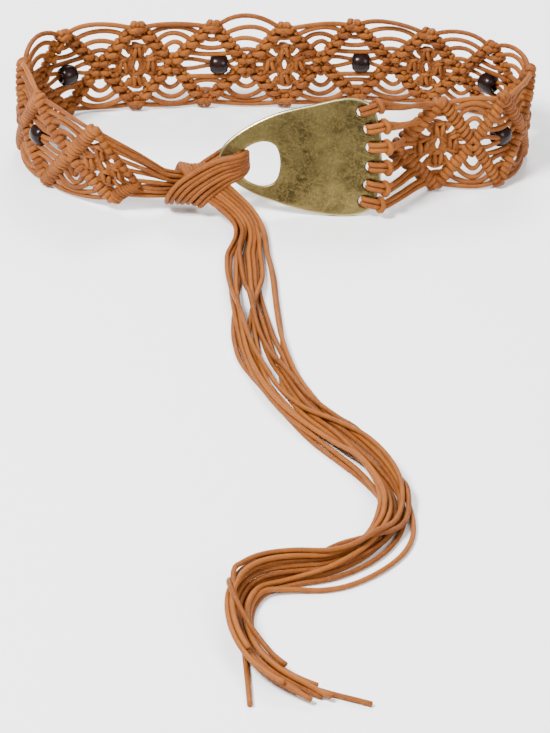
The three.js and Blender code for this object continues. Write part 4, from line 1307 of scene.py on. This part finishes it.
class ROPE_OT_beads(bpy.types.Operator):
    """Makes the turned wooden beads on their cords."""

    bl_idname = "rope.beads"
    bl_label = "Wooden beads"

    def execute(self, context):
        band = Band(settings(context)[0])
        material = material_named("dark_wood", wood_material, settings(context)[3])
        rows = np.array([*BEAD_PROFILE, *((r, -h) for r, h in reversed(BEAD_PROFILE))]) * 0.001
        levels, count = len(rows), 28
        turn = np.linspace(0, 2 * np.pi, count, endpoint=False)
        for index, place in enumerate(BEAD_PLACES):
            diamond = 2 * index + 1
            flat = bead_place(band, diamond, place)
            near = band.bend(np.array([flat - (0.004, 0, 0), flat + (0.004, 0, 0)]))
            low, high = (np.array(corner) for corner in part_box(f"wood_bead_{index + 1}"))
            middle = (low + high) / 2
            axis = unit(near[1] - near[0])
            side = unit(np.cross(axis, [0, 0, 1]))
            other = np.cross(axis, side)
            rings = []
            for radius, along in rows:
                ring = np.outer(np.cos(turn), side) + np.outer(np.sin(turn), other)
                rings.append(middle + axis * along + ring * radius)
            points = np.vstack(rings)
            quads = []
            for level in range(levels):
                here, there = level * count, (level + 1) % levels * count
                for k in range(count):
                    n = (k + 1) % count
                    quads.append((here + k, there + k, there + n, here + n))
            bead = mesh_object(f"bead_{index + 1}", points, np.array(quads), np.zeros((0, 3), int))
            place_piece(bead, material, f"wood_bead_{index + 1}")
        return {"FINISHED"}


class ROPE_OT_buckle(bpy.types.Operator):
    """Makes the domed brass plate."""

    bl_idname = "rope.buckle"
    bl_label = "Plate buckle"

    def execute(self, context):
        band_sizes, buckle, _, looks = settings(context)
        plate = Plate(buckle, band_sizes.loop_width)
        piece = build_plate(plate)
        place_piece(piece, material_named("aged_brass", brass_material, looks), "buckle_plate")
        return {"FINISHED"}


class ROPE_OT_loops(bpy.types.Operator):
    """Makes the loops hitched through the plate's small holes."""

    bl_idname = "rope.loops"
    bl_label = "Cord loops"

    def execute(self, context):
        band_sizes, buckle, _, _ = settings(context)
        band, plate = Band(band_sizes), Plate(buckle, band_sizes.loop_width)
        for index in range(len(LOOPS)):
            cords = build_loop(band, plate, index)
            piece = cords.build(f"loop_{index + 1}")
            place_piece(piece, cord_look(context), f"cord_loop_{index + 1}")
        return {"FINISHED"}


class ROPE_OT_knot(bpy.types.Operator):
    """Makes the gathered cords, their half hitch and the free ends on the surface."""

    bl_idname = "rope.knot"
    bl_label = "Half hitch and free ends"

    def execute(self, context):
        band_sizes, buckle, tail, _ = settings(context)
        band, plate = Band(band_sizes), Plate(buckle, band_sizes.loop_width)
        cords, ends = build_gather(band, plate, tail)
        place_piece(cords.build("half_hitch"), cord_look(context), "gather_knot")
        build_tail(band, ends, tail, cord_look(context))
        return {"FINISHED"}


class ROPE_OT_stage(bpy.types.Operator):
    """Makes the pale floor, the soft lights and the camera at the photograph's angle."""

    bl_idname = "rope.stage"
    bl_label = "Stage"

    def execute(self, context):
        looks = settings(context)[3]
        bpy.ops.mesh.primitive_plane_add(size=12, location=(0, 0, 0))
        floor = context.active_object
        floor.name = "floor"
        floor.data.materials.append(floor_material(looks))
        world = bpy.data.worlds.new("soft_world")
        world.use_nodes = True
        background = next(n for n in world.node_tree.nodes if n.type == "BACKGROUND")
        background.inputs["Color"].default_value = (1.0, 1.0, 1.0, 1)
        background.inputs["Strength"].default_value = WORLD_STRENGTH
        context.scene.world = world
        for light in LIGHTS:
            self.light(*light)
        camera = bpy.data.objects.new("camera", bpy.data.cameras.new("camera"))
        context.scene.collection.objects.link(camera)
        camera.location = CAMERA_PLACE
        camera.rotation_euler = (math.radians(90 - CAMERA_DOWN), 0, 0)
        camera.data.lens = CAMERA_LENS
        camera.data.sensor_width = 36.0
        camera.data.clip_start = 0.01
        camera.data.clip_end = 50.0
        context.scene.camera = camera
        return {"FINISHED"}

    def light(self, name, place, size, power):
        """One round soft light, turned to the belt."""
        data = bpy.data.lights.new(name, "AREA")
        data.shape = "DISK"
        data.size = size
        data.energy = power
        lamp = bpy.data.objects.new(name, data)
        lamp.location = place
        towards = Vector((0, 0, 0.02)) - Vector(place)
        lamp.rotation_euler = towards.to_track_quat("-Z", "Y").to_euler()
        bpy.context.scene.collection.objects.link(lamp)


class ROPE_PT_panel(bpy.types.Panel):
    """Lists the belt's settings and pieces."""

    bl_idname = "ROPE_PT_panel"
    bl_label = "Rope Belt"
    bl_space_type = "VIEW_3D"
    bl_region_type = "UI"
    bl_category = "Rope Belt"

    def draw(self, context):
        for group in settings(context):
            box = self.layout.box()
            for name in group.__annotations__:
                box.prop(group, name)
        for operator in OPERATORS:
            self.layout.operator(operator.bl_idname)


GROUPS = (
    ("rope_band", BandSettings),
    ("rope_buckle", BuckleSettings),
    ("rope_tail", TailSettings),
    ("rope_looks", LookSettings),
)
OPERATORS = (ROPE_OT_stage, ROPE_OT_knot, ROPE_OT_band, ROPE_OT_beads, ROPE_OT_buckle, ROPE_OT_loops)


def register():
    for name, group in GROUPS:
        bpy.utils.register_class(group)
        setattr(bpy.types.Scene, name, PointerProperty(type=group))
    for operator in OPERATORS:
        bpy.utils.register_class(operator)
    bpy.utils.register_class(ROPE_PT_panel)


def unregister():
    bpy.utils.unregister_class(ROPE_PT_panel)
    for operator in reversed(OPERATORS):
        bpy.utils.unregister_class(operator)
    for name, group in reversed(GROUPS):
        delattr(bpy.types.Scene, name)
        bpy.utils.unregister_class(group)


def main():
    register()
    bpy.ops.rope.stage()
    bpy.ops.rope.knot()
    bpy.ops.rope.band()
    bpy.ops.rope.beads()
    bpy.ops.rope.buckle()
    bpy.ops.rope.loops()


if __name__ == "__main__":
    main()
